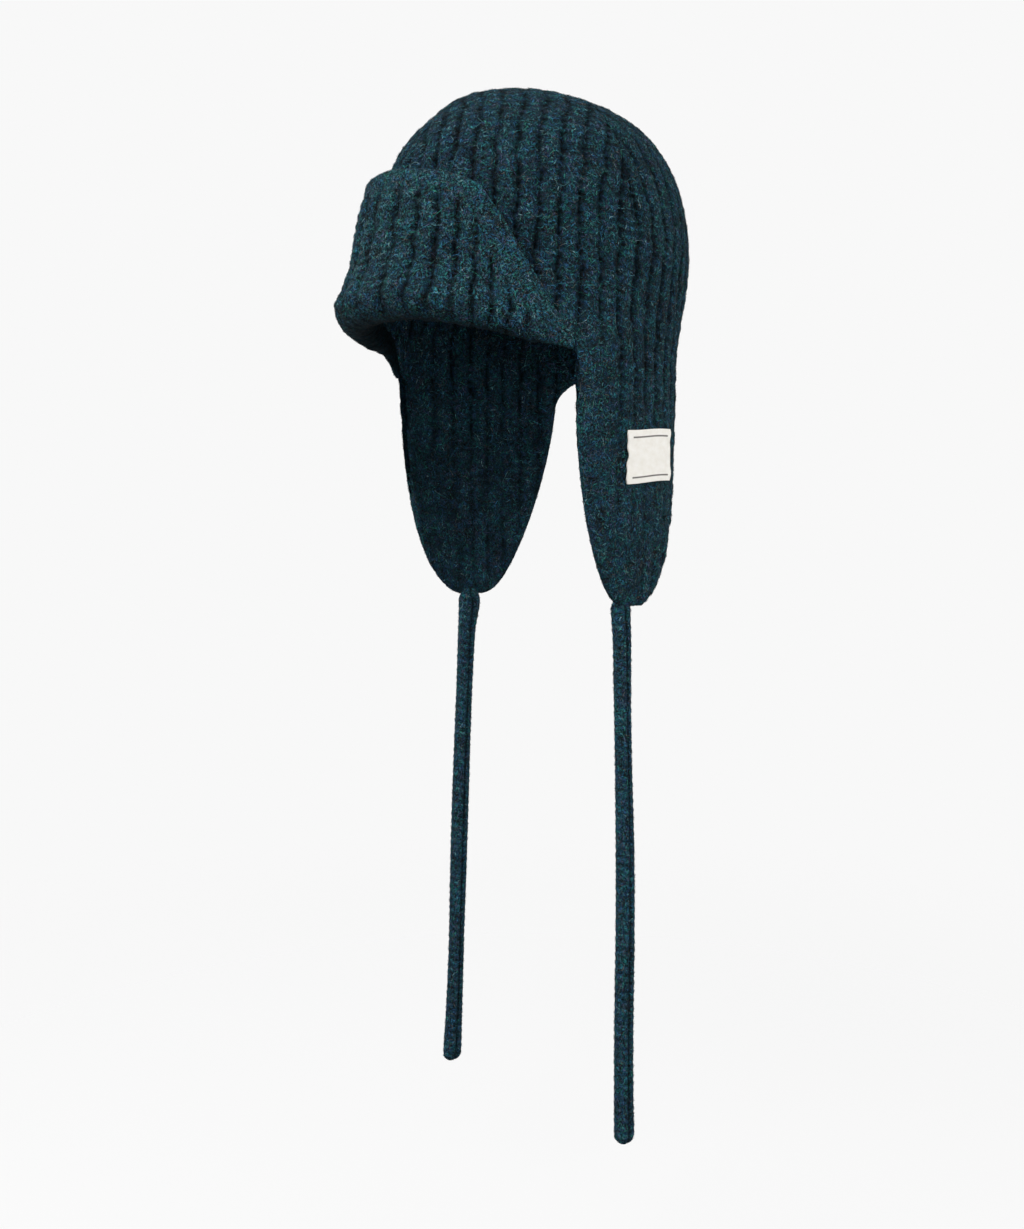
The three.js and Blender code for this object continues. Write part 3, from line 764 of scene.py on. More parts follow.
def edge_depth(points, edge_points):
    """How far each point is from the fabric's free edge, where it is near it."""
    tree = KDTree(len(edge_points))
    for index, point in enumerate(edge_points):
        tree.insert(point, index)
    tree.balance()
    depth = np.empty(points.shape[:-1])
    for index in np.ndindex(depth.shape):
        depth[index] = tree.find(points[index])[2]
    return depth


def rounded_half(depth, puff=1.0):
    """Half of the wall's thickness at a depth from its rounded edge."""
    inside = np.clip(depth / (HALF_WALL * puff), 0, 1)
    return HALF_WALL * puff * np.sqrt(1 - (1 - inside) ** 2)


def knit_wall(name, middle, normal, faces, keep):
    """A closed wall from its two faces, which meet wherever they rise nothing off the middle."""
    rows, columns = middle.shape[0] - 1, middle.shape[1] - 1
    sides = []
    for side, (lift, crest) in faces.items():
        piece, row, column = lay_grid(side, columns, rows, middle + normal * lift[..., None])
        set_attribute(piece, "crest", np.clip(crest, 0, 1)[row, column])
        set_attribute(piece, "inner", np.full(row.shape, float(side == "inside")))
        cells = np.empty(len(piece.data.polygons) * 4, dtype=int)
        piece.data.polygons.foreach_get("vertices", cells)
        cells = cells.reshape(-1, 4)
        dropped = ~keep[row[cells].min(axis=1), column[cells].min(axis=1)]
        bpy.ops.object.mode_set(mode="EDIT")
        bpy.ops.mesh.select_mode(type="FACE")
        bpy.ops.mesh.select_all(action="DESELECT")
        bpy.ops.object.mode_set(mode="OBJECT")
        piece.data.polygons.foreach_set("select", dropped)
        bpy.ops.object.mode_set(mode="EDIT")
        bpy.ops.mesh.delete(type="FACE")
        if side == "inside":
            bpy.ops.mesh.select_all(action="SELECT")
            bpy.ops.mesh.flip_normals()
        bpy.ops.object.mode_set(mode="OBJECT")
        sides.append(piece)
    outside, inside = sides
    bpy.ops.object.select_all(action="DESELECT")
    outside.select_set(True)
    inside.select_set(True)
    bpy.context.view_layer.objects.active = outside
    bpy.ops.object.join()
    outside.name = outside.data.name = name
    weld(outside)
    return outside


def thin_out(piece, share):
    """Fewer, larger faces on the inner side, whose stitches lie in the dark."""
    inner = np.empty(len(piece.data.vertices), dtype=np.float32)
    piece.data.attributes["inner"].data.foreach_get("value", inner)
    group = piece.vertex_groups.new(name="inner_side")
    group.add([int(index) for index in np.flatnonzero(inner > 0.9)], 1.0, "REPLACE")
    thinning = piece.modifiers.new("thinning", "DECIMATE")
    thinning.ratio = share
    thinning.vertex_group = group.name
    bpy.ops.object.modifier_apply(modifier=thinning.name)
    piece.vertex_groups.clear()


def crown_rows():
    """The dome's rows, evenly spaced down its side: their drops and how far down the wool they lie."""
    fine = np.linspace(0, 1, 2000)
    drop = DOME_HEIGHT * (1 - np.cos(np.pi / 2 * fine) ** DOME_TOP_POWER)
    out = (HALF_WIDTH + HALF_DEPTH) / 2 * reach_at(0 * drop, np.minimum(drop, DOME_HEIGHT - 1e-9))
    run = np.concatenate([[0], np.cumsum(np.hypot(np.diff(drop), np.diff(out)))])
    even = np.linspace(0, run[-1], int(run[-1] / ROW_STEP) + 1)
    return np.interp(even, run, drop), even


def rib_lean(column, drop):
    """How far the ribs over the ears lean towards the face on their way down."""
    side = np.sign(signed(column))
    over_ear = past(column, RIB_LEAN["from_angle"], RIB_LEAN["full_angle"])
    ahead = (RIB_LEAN["back_angle"] - np.abs(signed(column))) / RIB_LEAN["back_fade"]
    over_ear = over_ear * smooth(ahead)
    down = smooth((drop - RIB_LEAN_DROPS["from"]) / RIB_LEAN_DROPS["over"])
    return side * RIB_LEAN["by"] * over_ear * down


def rib_sway(column, drop):
    """The slow uneven wander of the ribs on their way down."""
    turn = np.radians(column)
    sway = 0
    for wave in RIB_SWAY:
        sway = sway + wave["by"] * np.sin(wave["waves"] * turn + drop / wave["drop"] + wave["start"])
    return sway * smooth((drop - RIB_SWAY_DROPS["from"]) / RIB_SWAY_DROPS["over"])


def rib_angle(column, drop):
    """The angle at which a rib's column lies at a drop below the top, off the darts."""
    return column - rib_sway(column, drop) - rib_lean(column, drop)


def dome_part(columns):
    """The dome's rows. In each quarter the ribs run side by side, and end where they reach a dart."""
    rows = []
    middle = (np.floor(columns / DART_ANGLE) + 0.5) * DART_ANGLE
    limit = math.sin(math.radians(DART_ANGLE / 2))
    valley = (np.rint(crown_phase(columns)) + RIB_PHASE) * 360 / RIB_COUNT
    for drop, run in zip(*crown_rows()):
        reach = max(float(reach_at(np.array(0.0), np.array(min(drop, DOME_HEIGHT - 1e-9)))), 1e-6)
        offset = np.sin(np.radians(rib_angle(columns, drop) - middle)) / reach
        angle = middle + np.degrees(np.arcsin(np.clip(offset, -limit, limit)))
        rib = np.where(np.abs(offset) < limit, columns, valley)
        rows.append((angle, rib, np.full_like(columns, drop), np.full_like(columns, run)))
    return rows


def body_part(columns, low, hem, dome_run):
    """The body's rows from the dome down to the hem, with a few close ones at its rounded edge."""
    rows = []
    body_height = HEM_DROP - DOME_HEIGHT
    plain = np.arange(ROW_STEP, body_height - EDGE_ROWS * EDGE_STEP, ROW_STEP)
    last = body_height - np.arange(EDGE_ROWS, -1, -1) * EDGE_STEP
    for height in np.concatenate([plain, last]):
        drop = lerp(DOME_HEIGHT, hem, height / body_height)
        rows.append((rib_angle(columns, drop), columns, drop, dome_run + drop - DOME_HEIGHT))
    rows[-1] = (low, *rows[-1][1:])
    return rows


def flap_part(columns, low, hem, own, dome_run):
    """The earflaps' rows. Columns past a flap's edge close up into a few narrow ones along it."""
    rows = []
    fine = np.linspace(0, 1, 3000)
    rear = flap_edges(fine, "right")[1]
    outline = np.hypot(np.diff(fine) * FLAP_LENGTH, np.radians(np.diff(rear)) * HALF_DEPTH)
    outline = np.concatenate([[0], np.cumsum(outline)])
    even = np.linspace(0, outline[-1], int(outline[-1] / ROW_STEP) + 1)[1:]
    side = np.sign(signed(low))
    turned_low = np.abs(signed(low))
    lengths = np.where(side > 0, *(shape["length"] for shape in FLAP_SHAPES.values()))
    pitch = 360 / RIB_COUNT / RIB_CELLS
    edge_pitch = math.degrees(EDGE_STEP / (HALF_WIDTH + HALF_DEPTH) * 2)
    for share in np.interp(even, outline, fine):
        left_edges, right_edges = (flap_edges(np.array([share]), hand) for hand in FLAP_SHAPES)
        first = np.where(side > 0, left_edges[0], right_edges[0]) + EDGE_ROWS * edge_pitch
        final = np.where(side > 0, left_edges[1], right_edges[1]) - EDGE_ROWS * edge_pitch
        before = np.minimum(np.ceil((first - turned_low) / pitch), EDGE_ROWS)
        after = np.minimum(np.ceil((turned_low - final) / pitch), EDGE_ROWS)
        turned = np.where(turned_low < first, first - before * edge_pitch, turned_low)
        turned = np.where(turned > final, final + after * edge_pitch, turned)
        drop = np.where(own, HEM_DROP + share * lengths, hem)
        angle = np.where(own, side * turned, low)
        rib = np.where(own, side * turned + columns - low, columns)
        rows.append((angle, rib, drop, dome_run + drop - DOME_HEIGHT))
    return rows


def crown_grid():
    """Angle, rib place, drop and run of every point of the crown with its earflaps."""
    columns = np.arange(RIB_COUNT * RIB_CELLS + 1) / RIB_CELLS + RIB_PHASE
    columns = columns * 360 / RIB_COUNT
    low = rib_angle(columns, HEM_DROP)
    hem = hem_drop(low)
    side = np.sign(signed(low))
    turned_low = np.abs(signed(low))
    left_root, right_root = (flap_edges(np.zeros(1), hand) for hand in FLAP_SHAPES)
    own = turned_low > np.where(side > 0, left_root[0], right_root[0])
    own &= turned_low < np.where(side > 0, left_root[1], right_root[1])
    rows = dome_part(columns)
    dome_run = rows[-1][-1][0]
    rows += body_part(columns, low, hem, dome_run)
    flap_start = len(rows)
    rows += flap_part(columns, low, hem, own, dome_run)
    grids = [np.array(grid) for grid in zip(*rows)]
    return (*grids, flap_start, own, turned_low < BRIM_END_ANGLE)


def crown_edge_points(hem_row, own, angles, drops):
    """Points along the free edge: the nape's hem, both outlines of each earflap and its tip."""
    points = []
    behind = ~own & (np.abs(signed(angles[hem_row])) > BRIM_END_ANGLE)
    points.extend(wall_points(angles[hem_row][behind], drops[hem_row][behind]))
    share = np.linspace(0, 1, 400)
    for side, (hand, shape) in zip((1, -1), FLAP_SHAPES.items()):
        length = shape["length"]
        front, rear = flap_edges(share, hand)
        for edge in (front, rear):
            points.extend(wall_points(side * edge, HEM_DROP + share * length))
        tip = np.linspace(front[-1], rear[-1], 20)
        points.extend(wall_points(side * tip, np.full_like(tip, HEM_DROP + length)))
        step = np.linspace(0, 1, 16)
        start = hem_drop(np.array([side * (BRIM_END_ANGLE - 0.1)]))[0]
        rising = lerp(start, HEM_DROP, step)
        points.extend(wall_points(np.full_like(step, side * BRIM_END_ANGLE), rising))
    return points


def knit_strength(angles, drops):
    """How strongly the ribs show. They fade at the earflaps' borders and towards their tips."""
    share = np.clip((drops - HEM_DROP) / FLAP_LENGTH, 0, 1)
    front = flap_edges(share.ravel(), "left")[0].reshape(share.shape)
    border = (np.abs(signed(angles)) - front) * math.radians(1) * (HALF_WIDTH + HALF_DEPTH) / 2
    low = smooth((drops - FLAP_BORDER["from_drop"]) / FLAP_BORDER["over_drop"])
    border = 1 - low * (1 - smooth((border - FLAP_BORDER["plain"]) / FLAP_BORDER["fade"]))
    return border * lerp(1, FLAP_FADE["to"], smooth(share / FLAP_FADE["by_share"]))


angles, ribs, drops, runs, flap_start, own, in_front = crown_grid()
middle = wall_points(angles, drops)
normal = fabric_normals(wall_points, angles, drops, ANGLE_STEP, DROP_STEP)

# The wall's two faces round towards each other near a free edge and meet in it. Under the brim
# the front hem is cut square instead, where the fold takes the wool over.
near_edge = drops > HEM_DROP - EDGE_REACH
depth = np.full(drops.shape, FAR_FROM_EDGE)
hem_row = flap_start - 1
edge_points = crown_edge_points(hem_row, own, angles, drops)
depth[near_edge] = edge_depth(middle[near_edge], edge_points)
depth[hem_row:, ~own] = 0
depth[hem_row:, in_front] = 0
depth[hem_row - 1, in_front] = FAR_FROM_EDGE
drops[hem_row - 1, in_front] = drops[hem_row, in_front]
depth[-1, :] = 0
closed_up = (np.abs(np.diff(angles, axis=1)) < 1e-9) & (np.arange(len(drops)) >= flap_start)[:, None]
depth[:, 1:][closed_up] = 0
depth[:, :-1][closed_up] = 0
middle = wall_points(angles, drops)
half = rounded_half(depth)
fade = np.clip(depth / HALF_WALL, 0, 1)
strength = knit_strength(angles, drops)
swell = LUMP_RISE * lumps(middle, LUMP_SIZE, 7)
phase = crown_phase(ribs)
relief = lerp(TOP_RELIEF, 1, smooth(drops / TOP_FLAT_DROP))
lift, crest = rib_lift(phase, runs, strength, relief, 11)
inner_strength = lerp(INNER_STRENGTH, strength, INNER_STRENGTH_SHARE)
inner_lift, inner_painted_shading = rib_lift(phase + 0.5, runs, inner_strength, INNER_RELIEF, 12)
inner_patches = lumps(middle, INNER_PATCHES["size"], 15)
inner_painted_shading = inner_painted_shading * (INNER_PATCHES["ground"] + INNER_PATCHES["by"] * inner_patches)
# Painted light: the inside of the crown is brightened above the hem and fades back to plain on the
# earflaps.
inner_painted_shading = inner_painted_shading * lerp(INNER_PAINTED_LIGHT, 1, smooth((drops - HEM_DROP) / INNER_PAINTED_LIGHT_FADE))
keep = np.ones((drops.shape[0] - 1, drops.shape[1] - 1), dtype=bool)
keep[hem_row:, :] = (own[1:] & own[:-1])[None, :]
crown = knit_wall(
    "crown_with_earflaps_knit",
    middle,
    normal,
    {
        "outside": (half + fade * (lift + swell), crest),
        "inside": (-half - fade * (inner_lift - swell), inner_painted_shading),
    },
    keep,
)
thin_out(crown, INNER_FACES_KEPT)
crown_wool = knit_material("crown_wool", shade=1.3, sheen=0.025)
crown.data.materials.append(crown_wool)
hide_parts("crown_with_earflaps")
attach(crown, "root")

# The brim is the same fabric: the front runs on past the brow, folds outwards in a round roll and
# comes back up outside the crown, with a thick plain edge that slants down to the earflaps.
BRIM_HEIGHT = 0.085
BRIM_ROW_STEP = 0.0013
BRIM_EDGE_DEPTHS = np.array([0, 0.0004, 0.0012, 0.0022])
BRIM_FIRST_ROW = 0.04
BRIM_SIDE_GAP = 0.6
BRIM_BORDER = 0.012
BRIM_SIDE_BORDER = 0.017
BRIM_SLANT = {"from_angle": 34, "over": 12}
BRIM_BORDER_EDGES = {"knit_from": 0.75, "knit_over": 0.5, "puff_to": 0.5, "puff_over": 0.6}
BRIM_PUFF = 1.3
BRIM_THIN_FROM = 52
BRIM_THIN_TO = 65
BRIM_END_HUG = 0.0030
BRIM_END_RADIUS = 0.0013
BRIM_END_THICKNESS = 0.36
BRIM_RELIEF = 1.15
BRIM_BACK_RELIEF = 0.8
FOLD_STRENGTH = {"to": 0.25, "from_place": 1.0, "over": 0.35}
# Painted shade round the fold: how far the colour of the brim's outer and inner faces darkens as they
# roll under.
FOLD_PAINTED_SHADE = {"to": 0.25, "from_place": 1.15, "over": 0.5}
FOLD_BACK_PAINTED_SHADE = {"to": 0.6, "from_place": 1.2, "over": 0.6}
BRIM_RIB_MIDDLE = 2.7
BRIM_RIB_RATE = 0.088
BRIM_RIB_GROWTH = 0.0015
BRIM_RIB_LIMIT = 38
FOLD_ROWS = 20
LEG_ROWS = 3
PLACE_STEP = 0.004


def brim_thinning(angle):
    """How far the brim has drawn down onto the crown, where its ends are sewn to the earflaps."""
    return past(angle, BRIM_THIN_FROM, BRIM_THIN_TO)


def brim_points(angle, place):
    """The brim's middle surface: down its outer layer, round the fold and up the short leg."""
    edge, fold, radius, hug = brim_sizes(angle)
    thin = brim_thinning(angle)
    radius = lerp(radius, BRIM_END_RADIUS, thin)
    hug = lerp(hug, BRIM_END_HUG, thin)
    first = np.clip(place, 0, 1)
    outer = wall_points(angle, lerp(edge, fold, first), lerp(hug, 2 * radius, first ** BRIM_CURVE))
    turn = np.pi * np.clip(place - 1, 0, 1)
    rolled = wall_points(angle, fold, radius * (1 + np.cos(turn)))
    rolled[..., 2] -= radius * np.sin(turn)
    leg = wall_points(angle, fold - BRIM_LEG * np.clip(place - 2, 0, 1))
    place = place[..., None]
    return np.where(place <= 1, outer, np.where(place <= 2, rolled, leg))


def brim_phase(angle):
    """Which rib of the brim an angle lies on. The ribs are stretched wide over the brow."""
    away = angle - BRIM_RIB_MIDDLE
    near = np.minimum(np.abs(away), BRIM_RIB_LIMIT)
    far = np.abs(away) - near
    count = near * (BRIM_RIB_RATE + BRIM_RIB_GROWTH * near)
    count = count + far * (BRIM_RIB_RATE + 2 * BRIM_RIB_GROWTH * BRIM_RIB_LIMIT)
    return 0.5 + np.sign(away) * count


def fading(place, fade):
    """A value that falls from one to the given share as the brim runs round its fold."""
    return lerp(1, fade["to"], smooth((place - fade["from_place"]) / fade["over"]))


brim_fine = np.linspace(-BRIM_END_ANGLE + BRIM_SIDE_GAP, BRIM_END_ANGLE - BRIM_SIDE_GAP, 4000)
brim_phases = brim_phase(brim_fine)
brim_cells = int((brim_phases[-1] - brim_phases[0]) * RIB_CELLS)
brim_evenly = np.linspace(brim_phases[0], brim_phases[-1], brim_cells)
brim_columns = np.interp(brim_evenly, brim_phases, brim_fine)

# A place on the brim counts from 0 at its free edge to 1 at the fold's start, 2 at its end and 3
# at the end of the leg that goes up inside the front hem.
places = np.concatenate([
    BRIM_EDGE_DEPTHS / BRIM_HEIGHT,
    np.linspace(BRIM_FIRST_ROW, 1, int(BRIM_HEIGHT / BRIM_ROW_STEP)),
    1 + np.arange(1, FOLD_ROWS + 1) / FOLD_ROWS,
    2 + np.arange(1, LEG_ROWS + 1) / LEG_ROWS,
    [3],
])
brim_angle, brim_place = np.meshgrid(brim_columns, places)
brim_middle = brim_points(brim_angle, brim_place)
brim_normal = fabric_normals(brim_points, brim_angle, brim_place, ANGLE_STEP, PLACE_STEP)
brim_run = np.concatenate([
    np.zeros((1, len(brim_columns))),
    np.cumsum(np.linalg.norm(np.diff(brim_middle, axis=0), axis=-1), axis=0),
])
edge_line = list(brim_middle[0]) + list(brim_middle[:-2, 0]) + list(brim_middle[:-2, -1])
brim_depth = edge_depth(brim_middle, edge_line)
brim_depth[-1, :] = 0
brim_depth[:, 0] = 0
brim_depth[:, -1] = 0
brim_fade = np.clip(brim_depth / HALF_WALL, 0, 1)
slanted = smooth((np.abs(brim_angle) - BRIM_SLANT["from_angle"]) / BRIM_SLANT["over"])
in_border = brim_depth / lerp(BRIM_BORDER, BRIM_SIDE_BORDER, slanted)
knitted = smooth((in_border - BRIM_BORDER_EDGES["knit_from"]) / BRIM_BORDER_EDGES["knit_over"])
brim_strength = knitted * fading(brim_place, FOLD_STRENGTH)
brim_puff = smooth((in_border - BRIM_BORDER_EDGES["puff_to"]) / BRIM_BORDER_EDGES["puff_over"])
brim_puff = np.where(brim_place > 1, 1, lerp(BRIM_PUFF, 1, brim_puff))
thinness = lerp(1, BRIM_END_THICKNESS, brim_thinning(brim_angle))
brim_swell = LUMP_RISE * lumps(brim_middle, LUMP_SIZE, 8)
phase = brim_phase(brim_angle)
brim_lift, brim_painted_shade = rib_lift(phase, brim_run, brim_strength, BRIM_RELIEF, 13)
back_lift, back_painted_shade = rib_lift(phase + 0.5, brim_run, brim_strength, BRIM_BACK_RELIEF, 14)
# Painted shade: both faces of the brim darken as they run round the fold's roll, over the painted shade
# of their ribs.
brim_painted_shade = brim_painted_shade * fading(brim_place, FOLD_PAINTED_SHADE)
back_painted_shade = back_painted_shade * fading(brim_place, FOLD_BACK_PAINTED_SHADE)
outer_half = thinness * rounded_half(brim_depth, brim_puff)
inner_half = thinness * rounded_half(brim_depth)
brim_keep = np.ones((len(places) - 1, len(brim_columns) - 1), dtype=bool)
brim = knit_wall(
    "front_brim_knit",
    brim_middle,
    brim_normal,
    {
        "outside": (outer_half + thinness * brim_fade * (brim_lift + brim_swell), brim_painted_shade),
        "inside": (-inner_half - thinness * brim_fade * (back_lift - brim_swell), back_painted_shade),
    },
    brim_keep,
)
# Painted light: the brim's wool is made brighter (shade 1.5) than the crown's (1.3), though it is the
# same yarn.
brim_wool = knit_material("brim_wool", shade=1.5, sheen=0.03)
brim.data.materials.append(brim_wool)
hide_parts("front_brim")
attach(brim, "root")

# The label is a tape of off-white cotton, woven with two thin dark lines and sewn flat on the
# outside of the left earflap. Its sides wave a little where the wool pushes them up.
LABEL_ANGLES = (86, 115.5)
LABEL_DROPS = (0.2052, 0.2360)
LABEL_REAR_RISE = 0.0024
LABEL_THICKNESS = 0.0008
LABEL_GAP = 0.0003
LABEL_COLUMNS = 98
LABEL_ROWS = 64
LABEL_WAVE = 0.0006
LABEL_SIDE_WAVES = [
    {"by": 0.010, "waves": 9, "start": 0.6},
    {"by": 0.007, "waves": 23, "start": 0},
]
LABEL_SAG = {"by": 0.010, "waves": 5.5, "start": 1}
LABEL_LINES = (0.135, 0.885)
LABEL_LINE_HALF = 0.41
LABEL_LINE_EDGE = {"From_Min": 0.010, "From_Max": 0.020, "To_Min": 0.85, "To_Max": 0}
LABEL_INK = (0.035, 0.03, 0.028, 1)
LABEL_CLOTH = [(0.3, (0.90, 0.87, 0.80)), (0.7, (0.97, 0.95, 0.90))]


def label_wave(wave, place):
    """A slow wave along one of the label's sides."""
    return wave["by"] * np.sin(wave["waves"] * place + wave["start"])


label_u, label_v = np.meshgrid(np.linspace(0, 1, LABEL_COLUMNS + 1), np.linspace(0, 1, LABEL_ROWS + 1))
side_wave = sum(label_wave(wave, label_v) for wave in LABEL_SIDE_WAVES)
off_middle = 2 * label_u - 1
label_angle = lerp(*LABEL_ANGLES, label_u + side_wave * off_middle ** 3)
label_drop = lerp(*LABEL_DROPS, label_v + label_wave(LABEL_SAG, label_u))
label_drop = label_drop - LABEL_REAR_RISE * label_u
pushed_up = LABEL_WAVE * np.abs(off_middle) ** 4 * (0.6 + 0.4 * np.sin(17 * label_v))
label_out = HALF_WALL + RIB_RISE + LABEL_GAP + pushed_up
label_normal = fabric_normals(wall_points, label_angle, label_drop, ANGLE_STEP, DROP_STEP)
label_points = wall_points(label_angle, label_drop) + label_normal * label_out[..., None]
label, row, column = lay_grid("label_tape", LABEL_COLUMNS, LABEL_ROWS, label_points)
label_map = label.data.uv_layers[0] if label.data.uv_layers else label.data.uv_layers.new(name="tape")
corners = np.empty(len(label.data.loops), dtype=int)
label.data.loops.foreach_get("vertex_index", corners)
uv = np.stack([column / LABEL_COLUMNS, 1 - row / LABEL_ROWS], axis=1)[corners]
label_map.data.foreach_set("uv", uv.ravel())
bpy.ops.object.shade_smooth()
tape_wall = label.modifiers.new("tape_wall", "SOLIDIFY")
tape_wall.thickness = LABEL_THICKNESS
tape_wall.offset = 1
bpy.ops.object.modifier_apply(modifier=tape_wall.name)


def label_material():
    """Woven cotton tape: a fine plain weave with two dark lines along it."""
    material = bpy.data.materials.new("label_cotton")
    material.use_nodes = True
    tree = material.node_tree
    tree.nodes.clear()
    link = tree.links.new
    place = add_node(tree, "ShaderNodeUVMap", (-1200, 0), uv_map=label_map.name)
    parts = add_node(tree, "ShaderNodeSeparateXYZ", (-1000, 0))
    link(place.outputs[0], parts.inputs[0])
    wave = "ShaderNodeTexWave"
    weave = add_node(tree, wave, (-1000, -300), bands_direction="Y", Scale=46, Distortion=0.6)
    weft = add_node(tree, wave, (-1000, -600), bands_direction="X", Scale=60, Distortion=0.6)
    both = add_node(tree, "ShaderNodeMath", (-760, -400), operation="ADD")
    link(place.outputs[0], weave.inputs[0])
    link(place.outputs[0], weft.inputs[0])
    link(weave.outputs["Fac"], both.inputs[0])
    link(weft.outputs["Fac"], both.inputs[1])
    bump = add_node(tree, "ShaderNodeBump", (-300, -400), Strength=0.5, Distance=0.0002)
    link(both.outputs[0], bump.inputs["Height"])
    soil = add_node(tree, "ShaderNodeTexNoise", (-760, 260), Scale=9, Detail=4)
    cloth = add_node(tree, "ShaderNodeValToRGB", (-540, 260))
    set_ramp(cloth, LABEL_CLOTH)
    link(place.outputs[0], soil.inputs[0])
    link(soil.outputs[0], cloth.inputs[0])
    last = cloth.outputs[0]
    for line in LABEL_LINES:
        away = add_node(tree, "ShaderNodeMath", (-760, 0), operation="SUBTRACT")
        away.inputs[1].default_value = 1 - line
        size = add_node(tree, "ShaderNodeMath", (-600, 0), operation="ABSOLUTE")
        mask = add_node(tree, "ShaderNodeMapRange", (-440, 0), **LABEL_LINE_EDGE)
        ends = add_node(tree, "ShaderNodeMath", (-600, -120), operation="COMPARE")
        ends.inputs[1].default_value = 0.5
        ends.inputs[2].default_value = LABEL_LINE_HALF
        kept = add_node(tree, "ShaderNodeMath", (-280, 0), operation="MULTIPLY")
        ink = add_node(tree, "ShaderNodeMix", (-120, 200), data_type="RGBA")
        ink.inputs["B"].default_value = LABEL_INK
        link(parts.outputs["Y"], away.inputs[0])
        link(away.outputs[0], size.inputs[0])
        link(size.outputs[0], mask.inputs[0])
        link(parts.outputs["X"], ends.inputs[0])
        link(mask.outputs[0], kept.inputs[0])
        link(ends.outputs[0], kept.inputs[1])
        link(kept.outputs[0], ink.inputs["Factor"])
        link(last, ink.inputs["A"])
        last = ink.outputs["Result"]
    surface = add_node(
        tree, "ShaderNodeBsdfPrincipled", (100, 0), Roughness=0.85, Specular_IOR_Level=0.25
    )
    output = add_node(tree, "ShaderNodeOutputMaterial", (400, 0))
    link(last, surface.inputs["Base Color"])
    link(bump.outputs["Normal"], surface.inputs["Normal"])
    link(surface.outputs[0], output.inputs[0])
    return material


label.data.materials.append(label_material())
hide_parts("label")
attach(label, "root")

# The wool is brushed: fine curly fibres lie over the whole knit. Each one is a thin curved sliver
# that follows the surface under it. They are joined into one piece for each part, or two for the
# crown, whose fibres are twice as many.
FIBRES = {
    "crown": {"count": 32000, "length": 0.0050, "width": 0.00030},
    "brim": {"count": 22000, "length": 0.0050, "width": 0.00030},
    "tie": {"count": 3500, "length": 0.0045, "width": 0.00026},
}
FIBRE_SEGMENTS = 3
FIBRE_TAPER = np.array([0.5, 1.0, 1.0, 0.35])
FIBRE_BEND = 1.3
FIBRE_RISES = (0.00004, 0.0004)
FIBRE_LENGTH_SPREAD = 0.35
FIBRE_WIDTH_SPREAD = (0.6, 1.4)
FIBRE_VALLEY_SHARE = 0.25
FIBRE_INNER_SHARE = 0.35
# Painted shade on the fibres: how dark they are made where they lie over a valley of the knit.
FIBRE_PAINTED_SHADE = {"From_Min": 0.25, "From_Max": 0.95, "To_Min": 0.06, "To_Max": 1.0}
FIBRE_GRAIN = {"From_Min": 0.36, "From_Max": 0.64, "To_Min": 0.05, "To_Max": 2.1}
FIBRE_COLOURS = [
    (0.00, (0.010, 0.010, 0.010)),
    (0.22, (0.016, 0.042, 0.048)),
    (0.40, (0.016, 0.104, 0.122)),
    (0.56, (0.018, 0.080, 0.160)),
    (0.68, (0.046, 0.056, 0.110)),
    (0.75, (0.052, 0.054, 0.050)),
    (0.81, (0.018, 0.120, 0.092)),
    (0.89, (0.044, 0.120, 0.136)),
    (0.98, (0.100, 0.180, 0.200)),
]


def fibre_material():
    """Dyed fibres of many shades, grained along their length, with shade painted on where they lie in a
    valley.
    """
    material = bpy.data.materials.new("brushed_fibre")
    material.use_nodes = True
    tree = material.node_tree
    tree.nodes.clear()
    shade = add_node(tree, "ShaderNodeAttribute", (-800, 0), attribute_name="yarn")
    ramp = add_node(tree, "ShaderNodeValToRGB", (-600, 0))
    set_ramp(ramp, FIBRE_COLOURS, "CONSTANT")
    crest = add_node(tree, "ShaderNodeAttribute", (-800, -250), attribute_name="crest")
    crest_light = add_node(tree, "ShaderNodeMapRange", (-600, -250), **FIBRE_PAINTED_SHADE)
    toned = add_node(
        tree, "ShaderNodeMix", (-320, 0), data_type="RGBA", blend_type="MULTIPLY", Factor=1
    )
    place = add_node(tree, "ShaderNodeTexCoord", (-1000, -500))
    grain = add_node(tree, "ShaderNodeTexNoise", (-800, -500), Scale=820, Detail=1)
    grain_light = add_node(tree, "ShaderNodeMapRange", (-600, -500), **FIBRE_GRAIN)
    light = add_node(tree, "ShaderNodeMath", (-450, -350), operation="MULTIPLY")
    surface = add_node(
        tree, "ShaderNodeBsdfPrincipled", (-100, 0), Roughness=0.8, Specular_IOR_Level=0.08
    )
    output = add_node(tree, "ShaderNodeOutputMaterial", (200, 0))
    tree.links.new(shade.outputs["Fac"], ramp.inputs[0])
    tree.links.new(ramp.outputs[0], toned.inputs["A"])
    tree.links.new(crest.outputs["Fac"], crest_light.inputs[0])
    tree.links.new(place.outputs["Object"], grain.inputs["Vector"])
    tree.links.new(grain.outputs[0], grain_light.inputs[0])
    tree.links.new(crest_light.outputs[0], light.inputs[0])
    tree.links.new(grain_light.outputs[0], light.inputs[1])
    tree.links.new(light.outputs[0], toned.inputs["B"])
    tree.links.new(toned.outputs["Result"], surface.inputs["Base Color"])
    tree.links.new(surface.outputs[0], output.inputs[0])
    return material


fibre_wool = fibre_material()


def read_attribute(mesh, name):
    """The numbers that set_attribute gave the mesh's points."""
    values = np.empty(len(mesh.vertices), dtype=np.float32)
    mesh.attributes[name].data.foreach_get("value", values)
    return values


